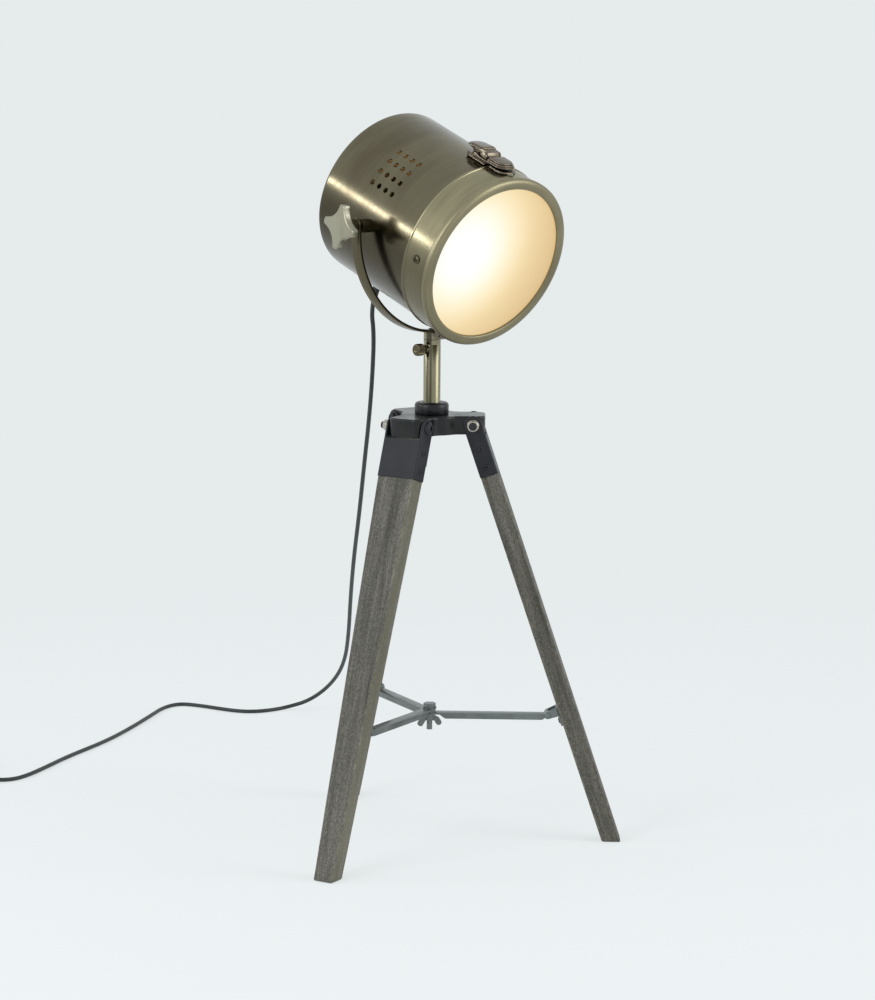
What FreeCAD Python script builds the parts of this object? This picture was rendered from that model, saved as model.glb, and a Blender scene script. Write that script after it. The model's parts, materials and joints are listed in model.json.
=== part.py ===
"""A tabletop searchlight on a folding wooden tripod, as a parametric FreeCAD document.

Millimetres and degrees, +Z up. The origin is on the pole's axis at the floor. The drum's beam
points to -Y, and its yoke's two arms stand at -X and +X. Every driving size is a cell of the
sheet "sizes"; the pieces are bodies whose sketches and features read those cells.
"""
import FreeCAD, Part
import Sketcher
import math
import os
import re

doc = FreeCAD.newDocument("tabletop_searchlight")
sheet = doc.addObject("Spreadsheet::Sheet", "sizes")

SIZES = [
    # tripod
    ("tripod_turn", -43.5, "azimuth of leg b; legs a and c stand 120 degrees either side"),
    ("leg_splay", 18.7, "lean of a leg from upright"),
    ("hinge_reach", 36.5, "pole axis to a leg's hinge bolt"),
    ("hinge_height", 374, "floor to the hinge bolts"),
    ("leg_step", 2, "board wider than the hub's arm, each side"),
    ("leg_width_foot", 19, "board width at the floor"),
    ("leg_thick", 16, "board thickness"),
    ("leg_drop", 14, "hinge bolt to the board's top end"),
    ("hub_thick", 16, "cast hub, top to bottom"),
    ("hub_core_d", 54, "round middle of the hub"),
    ("hub_rib", 3.5, "cast wall of the hub's hollow underside"),
    ("arm_width", 34, "width of a hub arm"),
    ("arm_end", 10.5, "hinge bolt to the arm's end"),
    ("arm_corner", 8, "corner radius of an arm's end, seen from above"),
    ("bolt_d", 6, "leg hinge bolt"),
    ("sleeve_wall", 2, "sheet of a leg's sleeve"),
    ("sleeve_low", 46, "hinge bolt to the sleeve's lower edge"),
    ("sleeve_top", 12, "hinge bolt to the front plate's upper edge"),
    ("ear_half", 8.4, "half width of a sleeve's ear"),
    ("screw_head_d", 5.6, "small black screws on sleeves and brackets"),
    # braces
    ("brace_height", 118, "floor to the top of the upper tongue"),
    ("brace_ear", 9.7053651, "board's inner face to a brace's outer rivet, level"),
    ("brace_width", 11, "channel and tongue width"),
    ("brace_deep", 5, "channel depth"),
    ("brace_wall", 1.5, "channel and tongue sheet"),
    ("brace_pitch", 1.6, "height between stacked tongues"),
    ("tongue_in", 12.5, "centre bolt to the channel's inner end"),
    ("tongue_out", 7.5, "outer rivet to the channel's outer end"),
    ("centre_bolt_d", 5, "bolt through the three tongues"),
    ("rivet_d", 4, "outer rivet of a brace"),
    ("bracket_wall", 1.8, "sheet of a brace bracket"),
    ("wing_span", 22, "wing nut, tip to tip"),
    # pole
    ("pole_d", 15, "pole, outside"),
    ("pole_wall", 1.5, "pole wall"),
    ("pole_long", 73.5, "hinge bolts to the pole's upper end"),
    ("collar_d", 30, "black collar on the hub"),
    ("collar_tall", 10.5, "collar height"),
    ("nut_flats", 22, "pole nut under the hub, across flats"),
    ("thumb_drop", 8.5, "pole top to the thumb screw"),
    ("thumb_head_d", 10.6, "thumb screw head"),
    ("thumb_head_long", 7.5, "thumb screw head length"),
    # yoke
    ("yoke_gap", 11, "drum to the inside of the yoke"),
    ("yoke_drop", 7, "tilt axis to the centre of the yoke's bend"),
    ("yoke_wall", 2.5, "yoke strip thickness"),
    ("yoke_wide", 11, "yoke strip width"),
    ("yoke_ear", 6.5, "tilt axis to the top of a yoke arm"),
    ("stem_rise", 6, "pole's end to the yoke"),
    ("stem_long", 30, "yoke stem inside the pole"),
    ("stud_d", 6, "clamp studs"),
    ("knob_tip", 19.5, "star knob, centre to point"),
    ("knob_thick", 7, "star knob plate"),
    ("knob_out", 19, "yoke's outside to the knob's outer face"),
    ("knob_turn", 12, "turn of the knob's first point from upright"),
    ("hex_flats", 10, "hexagons of the studs and hinge nuts, across flats"),
    # drum
    ("head_tilt", 21, "dip of the beam"),
    ("drum_d", 150, "drum, outside"),
    ("drum_wall", 1.2, "drum sheet"),
    ("drum_rear", 67, "tilt axis to the drum's back"),
    ("drum_front", 53, "tilt axis to the joint of drum and door"),
    ("drum_round", 3.5, "rounded rear edge"),
    ("lip_long", 6, "locating lip inside the door"),
    ("vent_d", 5, "vent holes"),
    ("vent_pitch", 8.9, "vent spacing along the drum"),
    ("vent_step", 8.85, "degrees between vent rows"),
    ("vent_angle", 50.3, "middle of the vents, from the top"),
    ("vent_back", 2, "middle of the vents, behind the tilt axis"),
    ("cord_exit", 47.5, "tilt axis back to the cord gland"),
    ("gland_d", 12, "gland flange"),
    ("gland_long", 22, "gland's tapered sleeve"),
    ("cord_d", 4, "supply cord"),
    # door
    ("band_step", 1, "door band beyond the drum, each side"),
    ("band_front", 81, "tilt axis to the band's front"),
    ("door_gap", 0.3, "gap between drum and door"),
    ("bezel_step", 1, "bezel beyond the band, each side"),
    ("bezel_front", 86.3, "tilt axis to the bezel's front"),
    ("bezel_face", 9, "width of the bezel's front"),
    ("lens_thick", 3, "frosted glass"),
    ("lens_hold", 4, "frosted glass behind the bezel, each side"),
    ("hinge_drop", 6.5, "drum surface to the door hinge's axis"),
    ("knuckle_d", 9, "door hinge knuckle"),
    ("hinge_wide", 24, "door hinge, end to end"),
    ("hinge_pin_d", 3, "door hinge pin"),
    # catch
    ("latch_wide", 18, "latch base width"),
    ("latch_rise", 6, "drum surface to the lever's pivot"),
    ("latch_at", 46, "tilt axis forward to the lever's pivot"),
    ("link_back", 8, "lever pivot back to the link's pin"),
    ("link_drop", 1.5, "lever pivot down to the link's pin"),
    ("latch_pin_d", 3, "lever pivot pin"),
    ("hook_at", 62.8, "tilt axis forward to the back of the catch's hook"),
    # lamp
    ("holder_d", 38, "lamp holder"),
    ("holder_long", 34, "lamp holder length"),
    ("bulb_d", 60, "bulb"),
    ("bulb_at", 8, "tilt axis forward to the bulb's middle"),
    # supply cord's pieces
    ("switch_long", 54, "inline switch"),
    ("switch_wide", 24, "inline switch width"),
    ("switch_tall", 16, "inline switch height"),
    ("rocker_long", 15, "rocker length"),
    ("plug_wide", 26, "plug width"),
    ("plug_long", 36, "plug body length"),
    ("plug_tall", 14, "plug body height"),
    ("plug_pin_d", 4, "plug pin"),
    ("plug_pin_long", 19, "plug pin length"),
    ("coil_mean", 23, "put-away coil of cord, radius at the middle of its turns"),
    ("coil_ahead", 52, "inline switch to the coil's middle, along the switch"),
    ("fit_gap", 0.05, "clearance all round of a pin in its bore"),
    ("free_gap", 0.3, "clearance between pieces that move past each other"),
]
TIED = [
    ("leg_width_top", "arm_width+2*leg_step", "board width under the sleeve"),
    ("leg_inside", "hinge_reach+(hinge_height-brace_height)*tan(leg_splay)-leg_thick/2/cos(leg_splay)",
     "pole axis to a board's inner face, at the braces"),
    ("brace_reach", "leg_inside-brace_ear", "centre bolt to the outer rivet"),
    ("pole_top", "hinge_height+pole_long", "floor to the pole's upper end"),
    ("yoke_inner", "drum_d/2+yoke_gap", "inside radius of the yoke's bend"),
    ("pivot_height", "pole_top+stem_rise+yoke_wall+yoke_inner+yoke_drop", "floor to the tilt axis"),
    ("knob_face", "yoke_inner+yoke_wall+knob_out", "tilt axis centre to the knob's outer face"),
    ("band_d", "drum_d+2*band_step", "door band, outside"),
    ("bezel_d", "band_d+2*bezel_step", "bezel, outside"),
    ("lens_open_d", "bezel_d-2*bezel_face", "clear opening of the bezel"),
    ("lens_d", "lens_open_d+2*lens_hold", "frosted glass, across"),
]
ROWS = SIZES + [(alias, "=" + formula, note) for alias, formula, note in TIED]
for row, (alias, entry, note) in enumerate(ROWS, 1):
    sheet.set("A%d" % row, note)
    sheet.set("B%d" % row, str(entry))
    sheet.setAlias("B%d" % row, alias)
doc.recompute()
NAMES = {alias for alias, _, _ in ROWS}

probe = doc.addObject("App::FeaturePython", "probe")
probe.addProperty("App::PropertyFloat", "reading")
readings = {}


def bound(text):
    """The expression with the sheet's name put before each of its cells."""
    return re.sub(r"[a-z]\w*", lambda m: ("sizes." if m[0] in NAMES else "") + m[0], str(text))


def value(text):
    """What an expression comes to now, as a number."""
    if text not in readings:
        probe.setExpression("reading", bound(text))
        probe.recompute()
        readings[text] = float(probe.reading)
    return readings[text]


# --- drawing and building ---------------------------------------------------------------------

nodes = []


def new_body(label):
    body = doc.addObject("PartDesign::Body", label)
    body.Label = label
    body.AllowCompound = True
    nodes.append(body)
    return body


def new_sketch(body, plane, lift="0", turn=None):
    """A sketch on one of the body's planes, lifted along its normal, or turned about its X axis."""
    sketch = body.newObject("Sketcher::SketchObject", body.Label + "_sketch")
    support = [o for o in body.Origin.OriginFeatures if o.Role == plane]
    sketch.AttachmentSupport = [(support[0], "")]
    sketch.MapMode = "FlatFace"
    if turn is not None:
        axis, angle = turn
        sketch.AttachmentOffset = FreeCAD.Placement(
            FreeCAD.Vector(), FreeCAD.Rotation(FreeCAD.Vector(*axis), 1)
        )
        sketch.setExpression("AttachmentOffset.Rotation.Angle", bound(angle))
    if lift != "0":
        sketch.setExpression("AttachmentOffset.Base.z", bound(lift))
    doc.recompute()
    return sketch


def fix(sketch, kind, *refs_and_value):
    """A dimension of a sketch, bound to its expression."""
    *refs, text = refs_and_value
    index = sketch.addConstraint(Sketcher.Constraint(kind, *refs, value(text)))
    if re.search("[a-z]", str(text)):
        sketch.setExpression("Constraints[%d]" % index, bound(text))


def arc_between(start, end, radius, side):
    """A minor arc from start to end; its centre is to the left of the way for side 1."""
    chord = end - start
    half = chord.Length / 2
    reach = math.sqrt(max(radius**2 - half**2, 0))
    left = FreeCAD.Vector(-chord.y, chord.x, 0).normalize()
    centre = (start + end) * 0.5 + left * (reach * side)
    first, last = (start, end) if side > 0 else (end, start)
    angles = [math.atan2(p.y - centre.y, p.x - centre.x) for p in (first, last)]
    if angles[1] < angles[0]:
        angles[1] += 2 * math.pi
    circle = Part.Circle(centre, FreeCAD.Vector(0, 0, 1), radius)
    return Part.ArcOfCircle(circle, *angles)


def outline(sketch, corners):
    """A closed outline. A corner is (x, y), or (x, y, radius, side) where an arc leaves it."""
    points = [FreeCAD.Vector(value(c[0]), value(c[1]), 0) for c in corners]
    first = sketch.GeometryCount
    count = len(corners)
    for i, corner in enumerate(corners):
        start, end = points[i], points[(i + 1) % count]
        if len(corner) == 4:
            sketch.addGeometry(arc_between(start, end, value(corner[2]), corner[3]), False)
        else:
            sketch.addGeometry(Part.LineSegment(start, end), False)
    head = [2 if len(c) == 4 and c[3] < 0 else 1 for c in corners]
    for i, corner in enumerate(corners):
        after = (i + 1) % count
        sketch.addConstraint(
            Sketcher.Constraint("Coincident", first + i, 3 - head[i], first + after, head[after])
        )
        fix(sketch, "DistanceX", -1, 1, first + i, head[i], corner[0])
        fix(sketch, "DistanceY", -1, 1, first + i, head[i], corner[1])
        if len(corner) == 4:
            fix(sketch, "Radius", first + i, corner[2])


def circle(sketch, x, y, diameter):
    centre = FreeCAD.Vector(value(x), value(y), 0)
    round_edge = Part.Circle(centre, FreeCAD.Vector(0, 0, 1), value(diameter) / 2)
    index = sketch.addGeometry(round_edge, False)
    fix(sketch, "DistanceX", -1, 1, index, 3, x)
    fix(sketch, "DistanceY", -1, 1, index, 3, y)
    fix(sketch, "Diameter", index, diameter)


def box_outline(sketch, x0, x1, y0, y1):
    outline(sketch, [(x0, y0), (x1, y0), (x1, y1), (x0, y1)])


def hexagon(sketch, x, y, flats):
    across = "(%s)/sqrt(3)" % flats
    outline(
        sketch,
        [("%s+%s*cos(%d)" % (x, across, a), "%s+%s*sin(%d)" % (y, across, a)) for a in range(0, 360, 60)],
    )


def feature(body, kind, sketch, **settings):
    """A feature on a sketch, with its lengths and angles bound to the sheet."""
    before = body.Shape.Volume if body.Tip else 0
    made = body.newObject("PartDesign::" + kind, body.Label + "_" + kind.lower())
    made.Profile = sketch
    for name, setting in settings.items():
        if isinstance(setting, str) and name in ("Length", "Angle", "TaperAngle"):
            made.setExpression(name, bound(setting))
        else:
            setattr(made, name, setting)
    sketch.Visibility = False
    doc.recompute()
    cuts = kind in ("Pocket", "Groove")
    change = made.Shape.Volume - before
    if (change > -1e-3) if cuts else (change < 1e-3):
        raise RuntimeError("%s of %s changes nothing" % (kind, body.Label))
    return made


def pad(body, sketch, length, **settings):
    return feature(body, "Pad", sketch, Length=length, **settings)


def pocket(body, sketch, length, **settings):
    return feature(body, "Pocket", sketch, Length=length, **settings)


def revolve(body, sketch, axis="H_Axis"):
    return feature(body, "Revolution", sketch, ReferenceAxis=(sketch, [axis]), Angle=360.0)


def groove(body, sketch, axis="H_Axis"):
    return feature(body, "Groove", sketch, ReferenceAxis=(sketch, [axis]), Angle=360.0)


def dress(body, kind, size, pick):
    """A fillet or chamfer on the edges that pick() chooses from the body's shape."""
    base = body.Tip
    chosen = ["Edge%d" % (i + 1) for i, e in enumerate(base.Shape.Edges) if pick(e)]
    if not chosen:
        raise RuntimeError("no edge to %s on %s" % (kind, body.Label))
    made = body.newObject("PartDesign::" + kind, body.Label + "_" + kind.lower())
    made.Base = (base, chosen)
    made.setExpression("Radius" if kind == "Fillet" else "Size", bound(size))
    doc.recompute()
    return made


def polar(body, originals, count, axis="Z_Axis"):
    made = body.newObject("PartDesign::PolarPattern", body.Label + "_polar")
    made.Originals = originals
    made.Axis = ([o for o in body.Origin.OriginFeatures if o.Role == axis][0], [""])
    made.Angle = 360
    made.Occurrences = count
    body.Tip = made
    doc.recompute()
    return made


def mirrored(body, originals, plane):
    made = body.newObject("PartDesign::Mirrored", body.Label + "_mirrored")
    made.Originals = originals
    made.MirrorPlane = ([o for o in body.Origin.OriginFeatures if o.Role == plane][0], [""])
    body.Tip = made
    doc.recompute()
    return made


def at(item, x="0", y="0", z="0", yaw="0", pitch="0", roll="0"):
    """Places a body: turned about its own X, then Y, then Z, and moved."""
    item.setExpression(
        "Placement",
        "placement(vector(%s; %s; %s); rotation(%s; %s; %s))"
        % tuple(bound(t) for t in (x, y, z, yaw, pitch, roll)),
    )


def in_head(body):
    """The drum's own frame: the tilt axis is X, the beam points to -Y, dipped by head_tilt."""
    at(body, z="pivot_height", roll="head_tilt")


def on_line(edge, **where):
    """True for an edge whose middle and ends all have the given coordinates."""
    points = [v.Point for v in edge.Vertexes] + [edge.CenterOfMass]
    return all(abs(getattr(p, k) - v) < 1e-4 for p in points for k, v in where.items())


def long_edge(edge, axis):
    """True for a straight edge that runs along the axis."""
    if edge.Curve.TypeId != "Part::GeomLine":
        return False
    d = edge.Vertexes[-1].Point - edge.Vertexes[0].Point
    return abs(getattr(d.normalize(), axis)) > 0.999


# --- tripod -----------------------------------------------------------------------------------

LEGS = {"a": "tripod_turn-120", "b": "tripod_turn", "c": "tripod_turn+120"}
STACK = {"a": 0, "c": 1, "b": 2}  # tongues on the centre bolt, from the top

HALF_BOARD = "leg_thick/2"
HUB_TOP = "hinge_height+hub_thick/2"
HUB_LOW = "hinge_height-hub_thick/2"
SLEEVE_IN = "arm_width/2+fit_gap"
SLEEVE_OUT = "arm_width/2+fit_gap+sleeve_wall"
SCREW_SHANK = "screw_head_d*0.55"
FOOT = "hinge_height/cos(leg_splay)"
SLEEVE_SCREWS = ("22", "38.5")


def on_leg(body, leg):
    """A leg's frame: the hinge bolt is Y, +X is the board's outer face, -Z runs down the leg."""
    turn = LEGS[leg]
    at(
        body,
        "hinge_reach*cos(%s)" % turn,
        "hinge_reach*sin(%s)" % turn,
        "hinge_height",
        yaw=turn,
        pitch="-leg_splay",
    )


def leg_x(reach, height):
    """A point's X in a leg's frame, from its reach off the pole's axis and its height."""
    return "(%s-hinge_reach)*cos(leg_splay)+(%s-hinge_height)*sin(leg_splay)" % (reach, height)


def leg_z(reach, height):
    return "-(%s-hinge_reach)*sin(leg_splay)+(%s-hinge_height)*cos(leg_splay)" % (reach, height)


def tongue_top(leg):
    return "(brace_height-%d*brace_pitch)" % STACK[leg]


def eye_height(leg):
    """The brace's outer hinge lies in the middle of its tongue's sheet."""
    return "(%s-brace_wall/2)" % tongue_top(leg)


# The blend between arm and middle ends a millimetre short of the sleeve's ear.
HUB_BLEND = (
    "max(min(arm_corner*1.5, 0.9*((hinge_reach-ear_half-1)^2-(hub_core_d/2)^2+(arm_width/2)^2)"
    "/(hub_core_d-arm_width)), 0.5)"
)


def make_hub():
    """Cast spider: a round middle, three arms, a hollow underside and a bored boss."""
    hub = new_body("hub")
    core = new_sketch(hub, "XY_Plane", HUB_LOW)
    circle(core, "0", "0", "hub_core_d")
    pad(hub, core, "hub_thick")
    arm = new_sketch(hub, "XY_Plane", HUB_LOW)
    end, half, corner = "(hinge_reach+arm_end)", "arm_width/2", "arm_corner"
    outline(
        arm,
        [
            ("0", "-" + half),
            (end + "-" + corner, "-" + half, corner, 1),
            (end, "-%s+%s" % (half, corner)),
            (end, "%s-%s" % (half, corner), corner, 1),
            (end + "-" + corner, half),
            ("0", half),
        ],
    )
    one_arm = pad(hub, arm, "hub_thick")
    bolt = new_sketch(hub, "XZ_Plane")
    circle(bolt, "hinge_reach", "hinge_height", "bolt_d+2*fit_gap")
    bolt_hole = pocket(hub, bolt, "arm_width+10", Midplane=True)
    polar(hub, [one_arm, bolt_hole], 3)
    middle = value("hub_core_d") / 2
    dress(
        hub,
        "Fillet",
        HUB_BLEND,
        lambda e: len(e.Vertexes) == 2
        and abs(e.Vertexes[0].Z - e.Vertexes[1].Z) > value("hub_thick") / 2
        and abs(math.hypot(e.Vertexes[0].X, e.Vertexes[0].Y) - middle) < 0.01,
    )
    hollow = new_sketch(hub, "XY_Plane", HUB_LOW)
    circle(hollow, "0", "0", "hub_core_d-4*hub_rib")
    pocket(hub, hollow, "hub_thick-6", Reversed=True)
    bore = new_sketch(hub, "XY_Plane", HUB_LOW)
    circle(bore, "0", "0", "pole_d+2*fit_gap")
    pocket(hub, bore, "hub_thick+1", Reversed=True)
    top = value(HUB_TOP)
    reach = value("pole_d")
    dress(
        hub,
        "Fillet",
        "1.6",
        lambda e: on_line(e, z=top) and e.CenterOfMass.Length and max(
            math.hypot(v.X, v.Y) for v in e.Vertexes
        ) > reach,
    )
    at(hub, yaw="tripod_turn")


def make_hub_bolts():
    """Three hinge bolts through the sleeves' ears and the arms: black heads, plated nuts."""
    bolts = new_body("hub_bolts")
    shank = new_sketch(bolts, "XZ_Plane", "-(%s)" % SLEEVE_OUT)
    circle(shank, "hinge_reach", "hinge_height", "bolt_d")
    body = pad(bolts, shank, "2*(%s)+8.5" % SLEEVE_OUT)
    head = new_sketch(bolts, "XZ_Plane", "-(%s+fit_gap)" % SLEEVE_OUT)
    circle(head, "hinge_reach", "hinge_height", "bolt_d*1.9")
    dome = pad(bolts, head, "bolt_d*0.45", Reversed=True)
    polar(bolts, [body, dome], 3)
    at(bolts, yaw="tripod_turn")

    nuts = new_body("hub_nuts")
    face = new_sketch(nuts, "XZ_Plane", "%s+fit_gap" % SLEEVE_OUT)
    circle(face, "hinge_reach", "hinge_height", "hex_flats*1.25")
    circle(face, "hinge_reach", "hinge_height", "bolt_d+2*fit_gap")
    washer = pad(nuts, face, "1.2")
    flats = new_sketch(nuts, "XZ_Plane", "%s+fit_gap+1.2" % SLEEVE_OUT)
    hexagon(flats, "hinge_reach", "hinge_height", "hex_flats")
    circle(flats, "hinge_reach", "hinge_height", "bolt_d+2*fit_gap")
    nut = pad(nuts, flats, "bolt_d*0.8")
    polar(nuts, [washer, nut], 3)
    at(nuts, yaw="tripod_turn")


def make_leg(leg):
    """Tapered board with a level foot, rebated at the top for its sleeve."""
    board = new_body("leg_" + leg)
    front = new_sketch(board, "YZ_Plane")
    low = "-(%s+leg_thick)" % FOOT
    outline(
        front,
        [
            ("-leg_width_foot/2", low),
            ("leg_width_foot/2", low),
            ("leg_width_top/2", "-leg_drop"),
            ("-leg_width_top/2", "-leg_drop"),
        ],
    )
    pad(board, front, "leg_thick", Midplane=True)
    foot = new_sketch(board, "XZ_Plane")
    outline(
        foot,
        [
            ("-leg_thick", "-%s+leg_thick*tan(leg_splay)" % FOOT),
            ("-leg_thick", "-%s-2*leg_thick" % FOOT),
            ("leg_thick", "-%s-2*leg_thick" % FOOT),
            ("leg_thick", "-%s-leg_thick*tan(leg_splay)" % FOOT),
        ],
    )
    pocket(board, foot, "leg_width_top+10", Midplane=True)
    dress(board, "Fillet", "1", lambda e: e.Length > value("hinge_height") / 2)
    sides = new_sketch(board, "YZ_Plane")
    for way in ("", "-"):
        box_outline(
            sides, way + "arm_width/2", way + "leg_width_top", "-sleeve_low", "-leg_drop+1"
        )
    pocket(board, sides, "leg_thick+10", Midplane=True)
    face = new_sketch(board, "XZ_Plane")
    box_outline(
        face, HALF_BOARD + "-sleeve_wall", "leg_thick", "-sleeve_low", "-leg_drop+1"
    )
    pocket(board, face, "leg_width_top+10", Midplane=True)
    holes = new_sketch(board, "XZ_Plane")
    for drop in SLEEVE_SCREWS:
        circle(holes, "0", "-" + drop, SCREW_SHANK + "+2*fit_gap")
    pocket(board, holes, "leg_width_top+10", Midplane=True)
    bracket = new_sketch(board, "YZ_Plane", "-(%s)" % HALF_BOARD)
    circle(bracket, "0", bracket_screw(leg), SCREW_SHANK + "+2*fit_gap")
    pocket(board, bracket, "leg_thick*0.7", Reversed=True)
    on_leg(board, leg)


def make_sleeve(leg):
    """Sheet sleeve: a front plate folded into two side plates with round ears on the bolt."""
    sleeve = new_body("sleeve_" + leg)
    side = new_sketch(sleeve, "XZ_Plane")
    outline(
        side,
        [
            ("-ear_half", "-sleeve_low"),
            (HALF_BOARD, "-sleeve_low"),
            (HALF_BOARD, "-sleeve_top"),
            ("ear_half", "0", "ear_half", 1),
            ("0", "ear_half", "ear_half", 1),
            ("-ear_half", "0"),
        ],
    )
    pad(sleeve, side, "2*(%s)" % SLEEVE_OUT, Midplane=True)
    inside = new_sketch(sleeve, "XZ_Plane")
    plate = HALF_BOARD + "-sleeve_wall+fit_gap"
    outline(
        inside,
        [
            ("-leg_thick", "-sleeve_low-5"),
            (plate, "-sleeve_low-5"),
            (plate, "-sleeve_top"),
            ("leg_thick", "-sleeve_top"),
            ("leg_thick", "leg_thick"),
            ("-leg_thick", "leg_thick"),
        ],
    )
    pocket(sleeve, inside, "2*(%s)" % SLEEVE_IN, Midplane=True)
    holes = new_sketch(sleeve, "XZ_Plane")
    circle(holes, "0", "0", "bolt_d+2*fit_gap")
    for drop in SLEEVE_SCREWS:
        circle(holes, "0", "-" + drop, SCREW_SHANK + "+2*fit_gap")
    pocket(sleeve, holes, "leg_width_top+20", Midplane=True)
    front, low = value(HALF_BOARD), value("sleeve_low")
    dress(
        sleeve,
        "Fillet",
        "sleeve_wall*0.8",
        lambda e: long_edge(e, "z")
        and abs(e.CenterOfMass.x - front) < 1e-4
        and abs(abs(e.CenterOfMass.y) - value(SLEEVE_OUT)) < 1e-4
        and e.CenterOfMass.z < -value("sleeve_top"),
    )
    on_leg(sleeve, leg)


def bracket_screw(leg):
    """How far down the leg's frame the brace bracket's screw is."""
    return "(%s-9)" % leg_z("brace_reach", eye_height(leg))


def make_leg_screws(leg):
    """The leg's black screws: two in each side plate and one in the brace bracket."""
    screws = new_body("leg_screws_" + leg)
    heads = new_sketch(screws, "XZ_Plane", "%s+fit_gap" % SLEEVE_OUT)
    shanks = new_sketch(screws, "XZ_Plane", "%s+fit_gap" % SLEEVE_OUT)
    for drop in SLEEVE_SCREWS:
        circle(heads, "0", "-" + drop, "screw_head_d")
        circle(shanks, "0", "-" + drop, SCREW_SHANK)
    head = pad(screws, heads, "1.2")
    shank = pad(screws, shanks, "12", Reversed=True)
    mirrored(screws, [head, shank], "XZ_Plane")
    low = bracket_screw(leg)
    lift = "-(%s+2*fit_gap+bracket_wall)" % HALF_BOARD
    bracket = new_sketch(screws, "YZ_Plane", lift)
    circle(bracket, "0", low, "screw_head_d")
    pad(screws, bracket, "1.2", Reversed=True)
    shaft = new_sketch(screws, "YZ_Plane", lift)
    circle(shaft, "0", low, SCREW_SHANK)
    pad(screws, shaft, "leg_thick*0.6")
    on_leg(screws, leg)


def make_bracket(leg):
    """Folded bracket on the leg's inner face: a screwed plate and two ears for the brace's pin."""
    bracket = new_body("brace_bracket_" + leg)
    eye_x = "(%s)" % leg_x("brace_reach", eye_height(leg))
    eye_z = "(%s)" % leg_z("brace_reach", eye_height(leg))
    face = "-(%s+fit_gap)" % HALF_BOARD
    back = "-(%s+fit_gap+bracket_wall)" % HALF_BOARD
    ears = new_sketch(bracket, "XZ_Plane")
    outline(
        ears,
        [
            (face, eye_z + "-4"),
            (face, eye_z + "+5"),
            (eye_x, eye_z + "+4", "4", 1),
            (eye_x + "-4", eye_z, "4", 1),
            (eye_x, eye_z + "-4"),
        ],
    )
    pad(bracket, ears, "brace_width+2*free_gap+2*bracket_wall", Midplane=True)
    slot = new_sketch(bracket, "XZ_Plane")
    box_outline(slot, eye_x + "-6", back, eye_z + "-7", eye_z + "+8")
    pocket(bracket, slot, "brace_width+2*free_gap", Midplane=True)
    plate = new_sketch(bracket, "YZ_Plane", face)
    wide = "(brace_width/2+free_gap+bracket_wall)"
    box_outline(plate, "-" + wide, wide, eye_z + "-13", eye_z + "+5")
    pad(bracket, plate, "bracket_wall", Reversed=True)
    holes = new_sketch(bracket, "XZ_Plane")
    circle(holes, eye_x, eye_z, "rivet_d*0.75+2*fit_gap")
    pocket(bracket, holes, "brace_width+20", Midplane=True)
    screw = new_sketch(bracket, "YZ_Plane", face)
    circle(screw, "0", bracket_screw(leg), SCREW_SHANK + "+2*fit_gap")
    pocket(bracket, screw, "bracket_wall+1", Midplane=False)
    shank = new_sketch(bracket, "XZ_Plane")
    circle(shank, eye_x, eye_z, "rivet_d*0.75")
    pad(bracket, shank, "2*%s+2" % wide, Midplane=True)
    head = new_sketch(bracket, "XZ_Plane", "-(%s+fit_gap)" % wide)
    circle(head, eye_x, eye_z, "rivet_d*1.4")
    cap = pad(bracket, head, "1", Reversed=True)
    mirrored(bracket, [cap], "XZ_Plane")
    on_leg(bracket, leg)


def make_brace(leg):
    """Pressed channel, open below, with a flat tongue on the centre bolt and a rolled outer eye."""
    brace = new_body("brace_" + leg)
    half = "brace_width/2"
    top = new_sketch(brace, "XY_Plane", "-brace_wall")
    outline(
        top,
        [
            ("0", "-" + half),
            ("brace_reach", "-" + half),
            ("brace_reach", half),
            ("0", half, half, 1),
            ("-" + half, "0", half, 1),
        ],
    )
    circle(top, "0", "0", "centre_bolt_d+2*fit_gap")
    pad(brace, top, "brace_wall")
    flanges = new_sketch(brace, "XY_Plane", "-brace_deep")
    for way in ("", "-"):
        box_outline(
            flanges,
            "tongue_in",
            "brace_reach-tongue_out",
            way + half,
            way + "(%s-brace_wall)" % half,
        )
    pad(brace, flanges, "brace_deep-brace_wall/2")
    eye = new_sketch(brace, "XZ_Plane")
    circle(eye, "brace_reach", "-brace_wall/2", "rivet_d*0.75+2*brace_wall+2*fit_gap")
    pad(brace, eye, "brace_width", Midplane=True)
    bore = new_sketch(brace, "XZ_Plane")
    circle(bore, "brace_reach", "-brace_wall/2", "rivet_d*0.75+2*fit_gap")
    pocket(brace, bore, "brace_width+4", Midplane=True)
    upper = 0.0
    dress(
        brace,
        "Fillet",
        "brace_wall*0.6",
        lambda e: long_edge(e, "x") and on_line(e, z=upper) and e.Length > value("tongue_in") * 3,
    )
    at(brace, z=tongue_top(leg), yaw=LEGS[leg])


STACK_LOW = "(brace_height-2*brace_pitch-brace_wall)"


def make_centre_bolt():
    """Hexagon bolt and washer through the three tongues."""
    bolt = new_body("centre_bolt")
    washer = new_sketch(bolt, "XY_Plane", "brace_height+fit_gap")
    circle(washer, "0", "0", "centre_bolt_d*2.5")
    pad(bolt, washer, "1")
    head = new_sketch(bolt, "XY_Plane", "brace_height+fit_gap+1")
    hexagon(head, "0", "0", "hex_flats*0.95")
    pad(bolt, head, "centre_bolt_d*0.75")
    shank = new_sketch(bolt, "XY_Plane", "brace_height+1")
    circle(shank, "0", "0", "centre_bolt_d")
    pad(bolt, shank, "20", Reversed=True)
    at(bolt, yaw="tripod_turn")


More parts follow.
